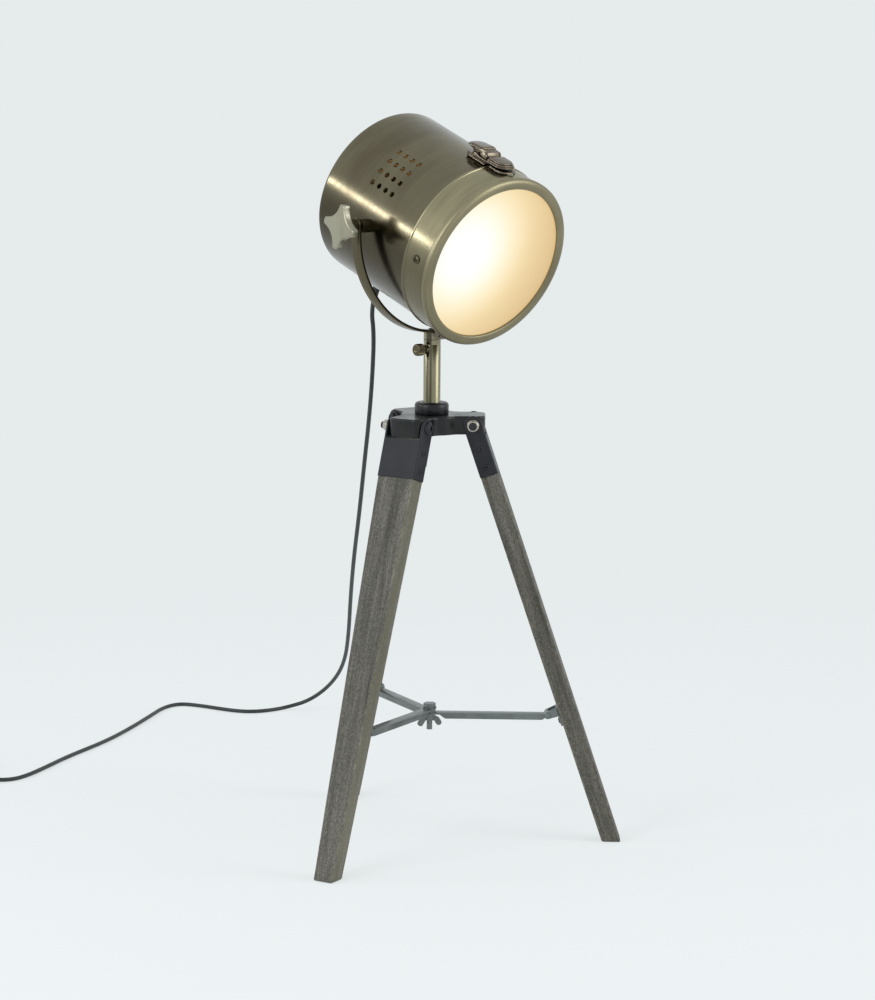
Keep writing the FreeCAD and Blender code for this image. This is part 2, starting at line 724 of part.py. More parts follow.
def make_wing_nut():
    """Wing nut: a coned boss with two rounded wings, turned down on the bolt."""
    nut = new_body("wing_nut")
    boss = new_sketch(nut, "XZ_Plane")
    top = STACK_LOW + "-fit_gap"
    outline(
        boss,
        [
            ("centre_bolt_d/2+fit_gap", top),
            ("centre_bolt_d*1.05", top),
            ("centre_bolt_d*0.8", top + "-6"),
            ("centre_bolt_d/2+fit_gap", top + "-6"),
        ],
    )
    revolve(nut, boss, "V_Axis")
    wing = new_sketch(nut, "XZ_Plane")
    outline(
        wing,
        [
            ("centre_bolt_d*0.7", top + "-1"),
            ("wing_span/2-2.5", top + "-4"),
            ("wing_span/2", top + "-8", "2.6", -1),
            ("wing_span/2-4.4", top + "-10.4"),
            ("centre_bolt_d*0.7", top + "-5.5"),
        ],
    )
    one = pad(nut, wing, "2", Midplane=True)
    mirrored(nut, [one], "YZ_Plane")
    at(nut, yaw="tripod_turn+20")


# --- pole and yoke ----------------------------------------------------------------------------

THUMB = "(pole_top-thumb_drop)"
STEM_D = "(pole_d-2*pole_wall-2*fit_gap)"


def make_pole():
    """Brass tube, threaded into a nut below the hub, bossed near its top for the thumb screw."""
    pole = new_body("pole")
    wall = new_sketch(pole, "XY_Plane", HUB_LOW + "+2")
    circle(wall, "0", "0", "pole_d")
    circle(wall, "0", "0", "pole_d-2*pole_wall")
    pad(pole, wall, "pole_top-(%s+2)" % HUB_LOW)
    boss = new_sketch(pole, "YZ_Plane", "-(pole_d/2+1.8)")
    circle(boss, "0", THUMB, "8")
    pad(pole, boss, "1.8+pole_wall*0.8")
    tapped = new_sketch(pole, "YZ_Plane", "-(pole_d/2+2)")
    circle(tapped, "0", THUMB, "4+2*fit_gap")
    pocket(pole, tapped, "pole_d/2", Reversed=True)


def make_collar():
    collar = new_body("collar")
    section = new_sketch(collar, "XZ_Plane")
    edge = "2.2"
    outline(
        section,
        [
            ("pole_d/2+fit_gap", HUB_TOP),
            ("collar_d/2", HUB_TOP),
            ("collar_d/2", "%s+collar_tall-%s" % (HUB_TOP, edge), edge, 1),
            ("collar_d/2-" + edge, HUB_TOP + "+collar_tall"),
            ("pole_d/2+fit_gap", HUB_TOP + "+collar_tall"),
        ],
    )
    revolve(collar, section, "V_Axis")


def make_pole_nut():
    nut = new_body("pole_nut")
    flats = new_sketch(nut, "XY_Plane", HUB_TOP + "-6-fit_gap")
    hexagon(flats, "0", "0", "nut_flats")
    circle(flats, "0", "0", "pole_d+2*fit_gap")
    pad(nut, flats, "6", Reversed=True)
    at(nut, yaw="tripod_turn")


def make_yoke():
    """Flat strip bent to a U round the drum, with a bored ear on each arm."""
    yoke = new_body("yoke")
    inner, outer = "yoke_inner", "(yoke_inner+yoke_wall)"
    strip = new_sketch(yoke, "XZ_Plane")
    outline(
        strip,
        [
            ("-" + outer, "yoke_ear"),
            ("-" + outer, "-yoke_drop", outer, 1),
            ("0", "-yoke_drop-" + outer, outer, 1),
            (outer, "-yoke_drop"),
            (outer, "yoke_ear"),
            (inner, "yoke_ear"),
            (inner, "-yoke_drop", inner, -1),
            ("0", "-yoke_drop-" + inner, inner, -1),
            ("-" + inner, "-yoke_drop"),
            ("-" + inner, "yoke_ear"),
        ],
    )
    pad(yoke, strip, "yoke_wide", Midplane=True)
    bores = new_sketch(yoke, "YZ_Plane")
    circle(bores, "0", "0", "stud_d+4*fit_gap")
    pocket(yoke, bores, "4*yoke_inner", Midplane=True)
    tenon = new_sketch(yoke, "XY_Plane", "-(yoke_drop+yoke_inner+yoke_wall+5)")
    circle(tenon, "0", "0", "5+2*fit_gap")
    pocket(yoke, tenon, "yoke_wall+8", Reversed=True)
    ear = value("yoke_ear")
    dress(
        yoke,
        "Fillet",
        "yoke_wide*0.48",
        lambda e: long_edge(e, "x") and on_line(e, z=ear) and abs(e.CenterOfMass.y) > 1,
    )
    at(yoke, z="pivot_height")


def make_yoke_stem():
    """Turned stem: a shoulder on the pole's end, a grooved pin in it and a tenon peened in the yoke."""
    stem = new_body("yoke_stem")
    section = new_sketch(stem, "XZ_Plane")
    seat = "(pivot_height-yoke_drop-yoke_inner-yoke_wall)"
    pin, foot = STEM_D + "/2", "(pole_top-stem_long)"
    outline(
        section,
        [
            ("0", foot),
            (pin + "-1", foot),
            (pin, foot + "+1"),
            (pin, THUMB + "-4"),
            (pin + "-1", THUMB + "-3"),
            (pin + "-1", THUMB + "+3"),
            (pin, THUMB + "+4"),
            (pin, "pole_top+fit_gap"),
            ("pole_d/2", "pole_top+fit_gap"),
            ("pole_d/2", seat + "-fit_gap"),
            ("2.5", seat + "-fit_gap"),
            ("2.5", seat + "+yoke_wall+0.2"),
            ("4", seat + "+yoke_wall+0.2"),
            ("2.6", seat + "+yoke_wall+1.2"),
            ("0", seat + "+yoke_wall+1.2"),
        ],
    )
    revolve(stem, section, "V_Axis")


def make_thumb_screw():
    """Knurled thumb screw whose tip enters the stem's groove."""
    screw = new_body("thumb_screw")
    section = new_sketch(screw, "XZ_Plane")
    head = "(pole_d/2+4)"
    outline(
        section,
        [
            ("-(%s/2-1+free_gap)" % STEM_D, "0"),
            ("-(%s/2-1+free_gap)" % STEM_D, "2"),
            ("-(pole_d/2+1.8+free_gap)", "2"),
            ("-(pole_d/2+1.8+free_gap)", "3"),
            ("-" + head, "3"),
            ("-" + head, "thumb_head_d/2-0.8"),
            ("-(%s+0.8)" % head, "thumb_head_d/2"),
            ("-(%s+thumb_head_long-0.8)" % head, "thumb_head_d/2"),
            ("-(%s+thumb_head_long)" % head, "thumb_head_d/2-0.8"),
            ("-(%s+thumb_head_long)" % head, "0"),
        ],
    )
    revolve(screw, section)
    at(screw, z=THUMB)


# --- drum -------------------------------------------------------------------------------------

DRUM_R = "drum_d/2"
DRUM_IN = "(drum_d/2-drum_wall)"
LIP_R = "(band_d/2-1.2-0.5)"


def top_sketch(body, angle):
    """A sketch on a plane through the drum's axis whose normal is turned from the top."""
    return new_sketch(body, "XY_Plane", turn=((0, 1, 0), angle))


def wall_hole(body, angle, spots, diameter):
    """Bores through the drum's wall, at one angle from the top, straight out from its axis."""
    sketch = top_sketch(body, angle)
    for x, y in spots:
        circle(sketch, x, y, diameter)
    return pocket(body, sketch, "drum_d*0.6", Reversed=True)


def make_drum():
    """Spun drum: a closed rounded back, vented cheeks, and a lip that locates the door."""
    drum = new_body("drum")
    shell = new_sketch(drum, "YZ_Plane")
    front, corner = "-drum_front", "drum_round"
    bend = "(drum_round-drum_wall)"
    outline(
        shell,
        [
            ("drum_rear", "0"),
            ("drum_rear", "%s-%s" % (DRUM_R, corner), corner, 1),
            ("drum_rear-" + corner, DRUM_R),
            (front, DRUM_R),
            (front, LIP_R),
            (front + "-lip_long", LIP_R),
            (front + "-lip_long", LIP_R + "-drum_wall"),
            (front + "+1", LIP_R + "-drum_wall"),
            (front + "+2", DRUM_IN),
            ("drum_rear-" + corner, DRUM_IN, bend, -1),
            ("drum_rear-drum_wall", "%s-%s" % (DRUM_R, corner)),
            ("drum_rear-drum_wall", "0"),
        ],
    )
    revolve(drum, shell)
    rows = []
    steps = (-1.5, -0.5, 0.5, 1.5)
    for row in steps:
        spots = [("0", "vent_back+(%s)*vent_pitch" % column) for column in steps]
        angle = "-vent_angle-(%s)*vent_step" % row
        rows.append(wall_hole(drum, angle, spots, "vent_d"))
    mirrored(drum, rows, "YZ_Plane")
    pivots = new_sketch(drum, "YZ_Plane")
    circle(pivots, "0", "0", "stud_d*1.5+2*fit_gap")
    pocket(drum, pivots, "drum_d*1.2", Midplane=True)
    wall_hole(drum, "180", [("0", "cord_exit")], "gland_d*0.66+2*fit_gap")
    wall_hole(drum, "0", [("0", spot) for spot in LATCH_RIVETS], "3+2*fit_gap")
    wall_hole(drum, "180", [(x, LEAF_RIVET) for x in HINGE_RIVETS], "3+2*fit_gap")
    back = new_sketch(drum, "XZ_Plane", "-(drum_rear+1)")
    for x in ("-16", "16"):
        circle(back, x, "0", "3.5+2*fit_gap")
    pocket(drum, back, "drum_wall+2", Reversed=True)
    in_head(drum)


def make_pivot_bushes():
    """Two flanged bushes in the drum's cheeks; the clamp studs screw into them."""
    bushes = new_body("pivot_bushes")
    section = new_sketch(bushes, "XZ_Plane")
    bore, neck, flange = "(stud_d/2+fit_gap)", "stud_d*0.75", "stud_d"
    outside, inside = "(%s+0.1)" % DRUM_R, "(%s-0.7)" % DRUM_IN
    outline(
        section,
        [
            (inside + "-1.5", bore),
            ("yoke_inner-0.9", bore),
            ("yoke_inner-0.9", flange),
            (outside, flange),
            (outside, neck),
            (inside, neck),
            (inside, flange),
            (inside + "-1.5", flange),
        ],
    )
    one = revolve(bushes, section)
    mirrored(bushes, [one], "YZ_Plane")
    in_head(bushes)


def clamp_side(body, side):
    """The left pieces are the right ones turned about the pole."""
    if side == "right":
        in_head(body)
    else:
        at(body, z="pivot_height", yaw="180", roll="-head_tilt")


def make_knob(side):
    """Four-pointed star knob: hollow-sided plate with bevelled faces and a coned boss."""
    knob = new_body("knob_" + side)
    star = new_sketch(knob, "YZ_Plane", "knob_face-knob_thick")
    corners = []
    for point in range(4):
        for edge, way in (("-9", -1), ("+9", 1)):
            angle = "(%d+knob_turn%s)" % (90 * point + 90, edge)
            corner = ("knob_tip*cos%s" % angle, "knob_tip*sin%s" % angle)
            corners.append(corner + ("knob_tip", -1) if way > 0 else corner)
    outline(star, corners)
    pad(knob, star, "knob_thick")
    inner, outer = value("knob_face-knob_thick"), value("knob_face")
    dress(knob, "Chamfer", "1.6", lambda e: on_line(e, x=inner) or on_line(e, x=outer))
    boss = new_sketch(knob, "XZ_Plane")
    bore, start = "(stud_d/2+fit_gap)", "(yoke_inner+yoke_wall+7)"
    outline(
        boss,
        [
            (start, bore),
            (start, "stud_d*0.8"),
            ("knob_face-knob_thick+1", "stud_d*1.25"),
            ("knob_face-knob_thick+1", bore),
        ],
    )
    revolve(knob, boss)
    socket = new_sketch(knob, "YZ_Plane", start)
    circle(socket, "0", "0", "2*" + bore)
    pocket(knob, socket, "knob_face-2-" + start, Reversed=True)
    clamp_side(knob, side)

    stud = new_body("stud_" + side)
    rod = new_sketch(stud, "YZ_Plane", DRUM_IN + "-6")
    circle(rod, "0", "0", "stud_d")
    pad(stud, rod, "knob_face-2.2-(%s-6)" % DRUM_IN)
    washer = new_sketch(stud, "YZ_Plane", "yoke_inner+yoke_wall+2*fit_gap")
    circle(washer, "0", "0", "hex_flats*1.2")
    pad(stud, washer, "1.2")
    collar = new_sketch(stud, "YZ_Plane", "yoke_inner+yoke_wall+2*fit_gap+1.2")
    hexagon(collar, "0", "0", "hex_flats")
    pad(stud, collar, "5")
    clamp_side(stud, side)


def make_gland():
    """Cord gland: a flange under the drum, a locking collar inside and a tapered sleeve."""
    gland = new_body("cord_gland")
    section = new_sketch(gland, "XZ_Plane")
    out, inn, neck = "(%s+0.1)" % DRUM_R, "(%s-0.5)" % DRUM_IN, "gland_d*0.33"
    bore = "(cord_d/2+fit_gap)"
    outline(
        section,
        [
            (bore, "-(%s+gland_long)" % out),
            ("cord_d/2+0.7", "-(%s+gland_long)" % out),
            ("gland_d*0.33", "-(%s+2.5)" % out),
            ("gland_d/2", "-(%s+1.5)" % out),
            ("gland_d/2", "-" + out),
            (neck, "-" + out),
            (neck, "-" + inn),
            ("gland_d/2", "-" + inn),
            ("gland_d/2", "-(%s-1.5)" % inn),
            (bore, "-(%s-1.5)" % inn),
        ],
    )
    revolve(gland, section, "V_Axis")
    at(
        gland,
        y="cord_exit*cos(head_tilt)",
        z="pivot_height+cord_exit*sin(head_tilt)",
        roll="head_tilt",
    )


# --- toggle catch on top ----------------------------------------------------------------------

LATCH_RIVETS = ("-27.5", "-33")
LEAF_RIVET = "-45.5"
HINGE_RIVETS = ("-8", "8")
LEVER_Y = "-latch_at"
LEVER_Z = "(%s+latch_rise)" % DRUM_R
LINK_Y = "(-latch_at+link_back)"
LINK_Z = "(%s-link_drop)" % LEVER_Z
SEAT = "(%s+fit_gap)" % DRUM_R
CHEEK = "(latch_wide/2-1.5)"
LEVER_HALF = "(%s-free_gap)" % CHEEK
LINK_HALF = "(latch_wide/2+free_gap)"


def make_latch_base():
    """Base plate riveted on the drum, with two round cheeks for the lever."""
    base = new_body("latch_base")
    plate = new_sketch(base, "YZ_Plane")
    outline(
        plate,
        [
            ("-24", SEAT),
            ("-24", SEAT + "+1.5"),
            ("-41.5", SEAT + "+1.5"),
            (LEVER_Y + "+4.5", LEVER_Z, "4.5", 1),
            (LEVER_Y, LEVER_Z + "+4.5", "4.5", 1),
            (LEVER_Y + "-4.5", LEVER_Z),
            ("-50.5", SEAT + "+1.5"),
            ("-50.5", SEAT),
        ],
    )
    pad(base, plate, "latch_wide", Midplane=True)
    slot = new_sketch(base, "YZ_Plane")
    box_outline(slot, "-52", "-38", SEAT + "+1.5", LEVER_Z + "+6")
    pocket(base, slot, "2*" + CHEEK, Midplane=True)
    bore = new_sketch(base, "YZ_Plane")
    circle(bore, LEVER_Y, LEVER_Z, "latch_pin_d+2*fit_gap")
    pocket(base, bore, "latch_wide+4", Midplane=True)
    rivets = new_sketch(base, "XY_Plane", SEAT + "-1")
    for spot in LATCH_RIVETS:
        circle(rivets, "0", spot, "3+2*fit_gap")
    pocket(base, rivets, "4", Reversed=True)
    pin = new_sketch(base, "YZ_Plane")
    circle(pin, LEVER_Y, LEVER_Z, "latch_pin_d")
    pad(base, pin, "latch_wide", Midplane=True)
    in_head(base)


def make_latch_lever():
    """Pressed lever: a hollow hump over the pivot that runs back to a lifted finger tip."""
    lever = new_body("latch_lever")
    side = new_sketch(lever, "YZ_Plane")
    outline(
        side,
        [
            ("-21.5", LEVER_Z + "+3.5"),
            ("-22", LEVER_Z + "+5.2"),
            ("-39", LEVER_Z + "+7.5"),
            ("-47", LEVER_Z + "+6.4", "8", -1),
            (LEVER_Y + "-4", LEVER_Z + "-0.5"),
            (LEVER_Y, LEVER_Z + "-4"),
            (LINK_Y + "+2.5", LEVER_Z + "-4"),
            ("-30", LEVER_Z + "+2"),
        ],
    )
    pad(lever, side, "2*" + LEVER_HALF, Midplane=True)
    hollow = new_sketch(lever, "YZ_Plane")
    outline(
        hollow,
        [
            ("-28", LEVER_Z + "-8"),
            ("-28", LEVER_Z + "+3.5"),
            ("-42", LEVER_Z + "+4.6"),
            ("-42", LEVER_Z + "-8"),
        ],
    )
    pocket(lever, hollow, "2*%s-3" % LEVER_HALF, Midplane=True)
    bores = new_sketch(lever, "YZ_Plane")
    circle(bores, LEVER_Y, LEVER_Z, "latch_pin_d+2*fit_gap")
    circle(bores, LINK_Y, LINK_Z, "2.5+2*fit_gap")
    pocket(lever, bores, "latch_wide+4", Midplane=True)
    pin = new_sketch(lever, "YZ_Plane")
    circle(pin, LINK_Y, LINK_Z, "2.5")
    pad(lever, pin, "2*(%s+1.6)" % LINK_HALF, Midplane=True)
    in_head(lever)


def make_latch_link():
    """Stamped link: two eyed arms beside the base, joined by a plate with a window for the hook."""
    link = new_body("latch_link")
    side = new_sketch(link, "YZ_Plane")
    low, high = LINK_Z + "-0.9", LINK_Z + "+0.9"
    outline(
        side,
        [
            (LINK_Y, LINK_Z + "+2.6"),
            ("-44", high),
            ("-hook_at-6.9", high),
            ("-hook_at-6.9", low),
            ("-44", low),
            (LINK_Y, LINK_Z + "-2.6", "2.6", 1),
            (LINK_Y + "+2.6", LINK_Z, "2.6", 1),
        ],
    )
    pad(link, side, "2*(%s+1.5)" % LINK_HALF, Midplane=True)
    arms = new_sketch(link, "XY_Plane", LINK_Z + "-4")
    box_outline(arms, "-" + LINK_HALF, LINK_HALF, "-53", "-30")
    pocket(link, arms, "8", Reversed=True)
    window = new_sketch(link, "XY_Plane", LINK_Z + "-4")
    box_outline(window, "-6", "6", "-hook_at-1.8-free_gap", "-57")
    pocket(link, window, "8", Reversed=True)
    bore = new_sketch(link, "YZ_Plane")
    circle(bore, LINK_Y, LINK_Z, "2.5+2*fit_gap")
    pocket(link, bore, "latch_wide+10", Midplane=True)
    in_head(link)


def make_catch():
    """Catch plate on the door's band: a raised hook, and a pointed tab ahead of it."""
    catch = new_body("latch_catch")
    seat = "(band_d/2+fit_gap)"
    plate = new_sketch(catch, "XY_Plane", seat)
    outline(
        plate,
        [
            ("-7", "-hook_at+5"),
            ("-7", "-hook_at-8"),
            ("-3", "-hook_at-14"),
            ("3", "-hook_at-14"),
            ("7", "-hook_at-8"),
            ("7", "-hook_at+5"),
        ],
    )
    pad(catch, plate, "1.3")
    hook = new_sketch(catch, "YZ_Plane")
    outline(
        hook,
        [
            ("-hook_at", seat + "+0.5"),
            ("-hook_at-1.8", seat + "+0.5"),
            ("-hook_at-1.8", LINK_Z + "+2.4"),
            ("-hook_at-0.4", LINK_Z + "+3.4"),
            ("-hook_at+0.4", LINK_Z + "+3"),
        ],
    )
    pad(catch, hook, "10", Midplane=True)
    rivet = new_sketch(catch, "XY_Plane", seat + "-1")
    circle(rivet, "0", "-hook_at-9", "3+2*fit_gap")
    pocket(catch, rivet, "4", Reversed=True)
    rivet_shape(catch, seat + "+1.3+fit_gap", [("0", "-hook_at-9")], True, "4.5")
    in_head(catch)


def rivet_shape(body, sketch_lift, spots, head_up, grip):
    """Round-headed rivets in the drum's frame, with their heads away from the axis."""
    heads = new_sketch(body, "XY_Plane", sketch_lift)
    shanks = new_sketch(body, "XY_Plane", sketch_lift)
    for x, y in spots:
        circle(heads, x, y, "5")
        circle(shanks, x, y, "3")
    pad(body, heads, "1", Reversed=not head_up)
    pad(body, shanks, grip, Reversed=head_up)


def make_rivets():
    """Rivets of the latch base and of the hinge's fixed leaf, through the drum's wall."""
    rivets = new_body("drum_rivets")
    rivet_shape(rivets, SEAT + "+1.5+fit_gap", [("0", s) for s in LATCH_RIVETS], True, "4.5")
    rivet_shape(
        rivets,
        "-(%s+1.5+fit_gap)" % SEAT,
        [(x, LEAF_RIVET) for x in HINGE_RIVETS],
        False,
        "4.5",
    )
    in_head(rivets)


# --- door hinge below -------------------------------------------------------------------------

DOOR_LEAF_RIVET = "-66"
AXIS_Y = "-(drum_front+0.5)"
AXIS_Z = "-(%s+hinge_drop)" % DRUM_R


def make_hinge():
    """Butt hinge: the fixed leaf has two outer knuckles, the door's leaf the middle one."""
    fixed = new_body("hinge_leaf_fixed")
    leaf = new_sketch(fixed, "YZ_Plane")
    box_outline(leaf, "-42.5", "-drum_front", "-(%s+1.5)" % SEAT, "-" + SEAT)
    pad(fixed, leaf, "hinge_wide", Midplane=True)
    web = new_sketch(fixed, "YZ_Plane")
    box_outline(web, "-49.6", "-drum_front", AXIS_Z, "-(%s+0.5)" % SEAT)
    pad(fixed, web, "hinge_wide", Midplane=True)
    knuckle = new_sketch(fixed, "YZ_Plane")
    circle(knuckle, AXIS_Y, AXIS_Z, "knuckle_d")
    pad(fixed, knuckle, "hinge_wide", Midplane=True)
    middle = new_sketch(fixed, "YZ_Plane")
    box_outline(middle, "-48", "-60", AXIS_Z + "-knuckle_d+0.5", "-(%s+1.5)" % SEAT)
    pocket(fixed, middle, "hinge_wide/3+2*free_gap", Midplane=True)
    bore = new_sketch(fixed, "YZ_Plane")
    circle(bore, AXIS_Y, AXIS_Z, "hinge_pin_d+2*fit_gap")
    pocket(fixed, bore, "hinge_wide+4", Midplane=True)
    rivets = new_sketch(fixed, "XY_Plane", "-(%s+3)" % SEAT)
    for x in HINGE_RIVETS:
        circle(rivets, x, LEAF_RIVET, "3+2*fit_gap")
    pocket(fixed, rivets, "4", Reversed=True)
    pin = new_sketch(fixed, "YZ_Plane")
    circle(pin, AXIS_Y, AXIS_Z, "hinge_pin_d")
    pad(fixed, pin, "hinge_wide+0.4", Midplane=True)
    ends = new_sketch(fixed, "YZ_Plane", "hinge_wide/2+0.1")
    circle(ends, AXIS_Y, AXIS_Z, "hinge_pin_d*1.6")
    end = pad(fixed, ends, "1")
    mirrored(fixed, [end], "YZ_Plane")
    in_head(fixed)

    seat = "(band_d/2+fit_gap)"
    door = new_body("hinge_leaf_door")
    plate = new_sketch(door, "YZ_Plane")
    box_outline(plate, "-(drum_front+5.3)", "-72", "-(%s+1.5)" % seat, "-" + seat)
    pad(door, plate, "hinge_wide*0.62", Midplane=True)
    stem = new_sketch(door, "YZ_Plane")
    box_outline(stem, "-(drum_front+0.8)", "-59", AXIS_Z, "-" + seat)
    pad(door, stem, "hinge_wide/3", Midplane=True)
    ring = new_sketch(door, "YZ_Plane")
    circle(ring, AXIS_Y, AXIS_Z, "knuckle_d-0.4")
    pad(door, ring, "hinge_wide/3", Midplane=True)
    hole = new_sketch(door, "YZ_Plane")
    circle(hole, AXIS_Y, AXIS_Z, "hinge_pin_d+3*fit_gap")
    pocket(door, hole, "hinge_wide+4", Midplane=True)
    rivet = new_sketch(door, "XY_Plane", "-(%s+3)" % seat)
    circle(rivet, "0", DOOR_LEAF_RIVET, "3+2*fit_gap")
    pocket(door, rivet, "4", Reversed=True)
    rivet_shape(door, "-(%s+1.5+fit_gap)" % seat, [("0", DOOR_LEAF_RIVET)], False, "4.5")
    in_head(door)


# --- door -------------------------------------------------------------------------------------

BAND_WALL = "1.2"
LENS_BACK = "(band_front+0.1)"


def make_door():
    """Front door: a sleeve with an inward flange, a rounded bezel, and the frosted glass between."""
    band = new_body("door_band")
    section = new_sketch(band, "YZ_Plane")
    outline(
        section,
        [
            ("-(drum_front+door_gap)", "band_d/2"),
            ("-band_front", "band_d/2"),
            ("-band_front", "lens_open_d/2+1.5"),
            ("-(band_front-1.2)", "lens_open_d/2+1.5"),
            ("-(band_front-1.2)", "band_d/2-" + BAND_WALL),
            ("-(drum_front+door_gap)", "band_d/2-" + BAND_WALL),
        ],
    )
    revolve(band, section)
    sides = new_sketch(band, "YZ_Plane")
    circle(sides, "-69", "0", "3+2*fit_gap")
    pocket(band, sides, "band_d*1.2", Midplane=True)
    wall_hole(band, "0", [("0", "-hook_at-9")], "3+2*fit_gap")
    wall_hole(band, "180", [("0", DOOR_LEAF_RIVET)], "3+2*fit_gap")
    in_head(band)

    bezel = new_body("bezel")
    ring = new_sketch(bezel, "YZ_Plane")
    edge = "2.2"
    outline(
        ring,
        [
            ("-(band_front+fit_gap)", "bezel_d/2"),
            ("-(bezel_front-%s)" % edge, "bezel_d/2", edge, 1),
            ("-bezel_front", "bezel_d/2-" + edge),
            ("-bezel_front", "lens_open_d/2+1.2", "1.2", 1),
            ("-(bezel_front-1.2)", "lens_open_d/2"),
            ("-(%s+lens_thick+0.1)" % LENS_BACK, "lens_open_d/2"),
            ("-(%s+lens_thick+0.1)" % LENS_BACK, "lens_d/2+0.3"),
            ("-(band_front+fit_gap)", "lens_d/2+0.3"),
        ],
    )
    revolve(bezel, ring)
    in_head(bezel)

    lens = new_body("lens")
    pane = new_sketch(lens, "XZ_Plane", LENS_BACK)
    circle(pane, "0", "0", "lens_d")
    pad(lens, pane, "lens_thick")
    in_head(lens)

    screws = new_body("door_screws")
    heads = new_sketch(screws, "YZ_Plane", "band_d/2+0.05")
    circle(heads, "-69", "0", "7")
    head = pad(screws, heads, "1.8")
    shanks = new_sketch(screws, "YZ_Plane", "band_d/2+0.05")
    circle(shanks, "-69", "0", "3")
    shank = pad(screws, shanks, "6", Reversed=True)
    mirrored(screws, [head, shank], "YZ_Plane")
    in_head(screws)


# --- lamp inside ------------------------------------------------------------------------------

BACK_IN = "(drum_rear-drum_wall)"


def make_lamp():
    """Bracket on the drum's back, lamp holder, and a frosted bulb screwed into it."""
    bracket = new_body("holder_bracket")
    plate = new_sketch(bracket, "XZ_Plane", "-(%s-0.1)" % BACK_IN)
    box_outline(plate, "-24", "24", "-9", "9")
    for x in ("-16", "16"):
        circle(plate, x, "0", "3.5+2*fit_gap")
    pad(bracket, plate, "1.6")
    heads = new_sketch(bracket, "XZ_Plane", "-(drum_rear+0.05)")
    shanks = new_sketch(bracket, "XZ_Plane", "-(drum_rear+0.05)")
    for x in ("-16", "16"):
        circle(heads, x, "0", "7")
        circle(shanks, x, "0", "3.5")
    pad(bracket, heads, "2", Reversed=True)
    pad(bracket, shanks, "4")
    in_head(bracket)

    holder = new_body("lamp_holder")
    skirt = new_sketch(holder, "YZ_Plane")
    back = "(%s-1.75)" % BACK_IN
    outline(
        skirt,
        [
            (back, "0"),
            (back, "9"),
            (back + "-3", "holder_d/2-3"),
            (back + "-8", "holder_d/2"),
            (back + "-holder_long", "holder_d/2"),
            (back + "-holder_long", "14.2"),
            (back + "-9", "14.2"),
            (back + "-9", "0"),
        ],
    )
    revolve(holder, skirt)
    in_head(holder)

    cap = new_body("bulb_cap")
    thread = new_sketch(cap, "YZ_Plane")
    seat = "(%s-9.3)" % back
    outline(
        thread,
        [
            (seat, "0"),
            (seat, "4"),
            (seat + "-3", "12"),
            (seat + "-4", "13.2"),
            (seat + "-27", "13.2"),
            (seat + "-27", "0"),
        ],
    )
    revolve(cap, thread)
    in_head(cap)

    glass = new_body("bulb_glass")
    envelope = new_sketch(glass, "YZ_Plane")
    neck = seat + "-27.1"
    outline(
        envelope,
        [
            ("-bulb_at-bulb_d/2", "0"),
            ("-bulb_at-bulb_d/2+1", "0", "bulb_d/2-1", -1),
            ("-bulb_at", "bulb_d/2-1", "bulb_d/2-1", -1),
            ("-bulb_at+(bulb_d/2-1)*0.866", "(bulb_d/2-1)*0.5"),
            (neck, "11.6"),
            (neck, "12.6"),
            ("-bulb_at+bulb_d*0.433", "bulb_d*0.25", "bulb_d/2", 1),
            ("-bulb_at", "bulb_d/2", "bulb_d/2", 1),
        ],
    )
    revolve(glass, envelope)
    in_head(glass)


# --- supply cord ------------------------------------------------------------------------------

# The cord's route on the default sizes: out of the gland, down in a free hang, and over the floor.
HANG = [
    (8, 87, 445),
    (20.5, 103.5, 405),
    (37, 127, 362),
    (59, 159.5, 313.5),
    (87.5, 199.5, 260.5),
    (119.5, 245, 208),
    (156, 293, 156),
    (194, 340.5, 106),
    (222, 380, 65.5),
    (236.5, 418, 34.5),
    (239, 457, 9.5),
    (219, 473.5, 2),
]
FLOOR = [
    (202, 474, 2),
    (189, 477, 2),
    (177.5, 483.5, 2),
    (168.5, 496, 2),
    (161.5, 517, 2),
    (155, 540, 2),
    (144, 561, 2),
    (119, 556.5, 2),
    (84.5, 533, 2),
    (30.5, 498.5, 2),
    (-17, 472, 2),
    (-80, 445.5, 2),
    (-122, 423.5, 2),
    (-152, 409, 2),
    (-171.5, 404.5, 2),
    (-187.5, 410.5, 2.6),
    (-200.4, 419.9, 7),
]
TOP_RUNS = 4  # runs of the hang that the drum's tilt moves
HOME_EXIT_Y = 82.01
SWITCH_AT = (-228.6, 445.3)
AWAY = "138"  # azimuth of the switch, away from the cord's last visible point
HANG_TOP = 467.9
COIL_OFF = "(coil_mean+cord_d/2)"
COIL_OUT = "(coil_mean+cord_d+2*fit_gap)"
COIL_REACH = "sqrt(%s^2-coil_mean^2)" % COIL_OUT
DOWN = "(drum_d/2+0.1+gland_long+8)"
EXIT_Y = "(cord_exit*cos(head_tilt)+%s*sin(head_tilt))" % DOWN
EXIT_Z = "(pivot_height+cord_exit*sin(head_tilt)-%s*cos(head_tilt))" % DOWN
SHIFT = "(%s-%s)" % (EXIT_Y, HOME_EXIT_Y)
ENTRY = "(switch_tall*0.4375)"
INSIDE = "(switch_long/2-4)"


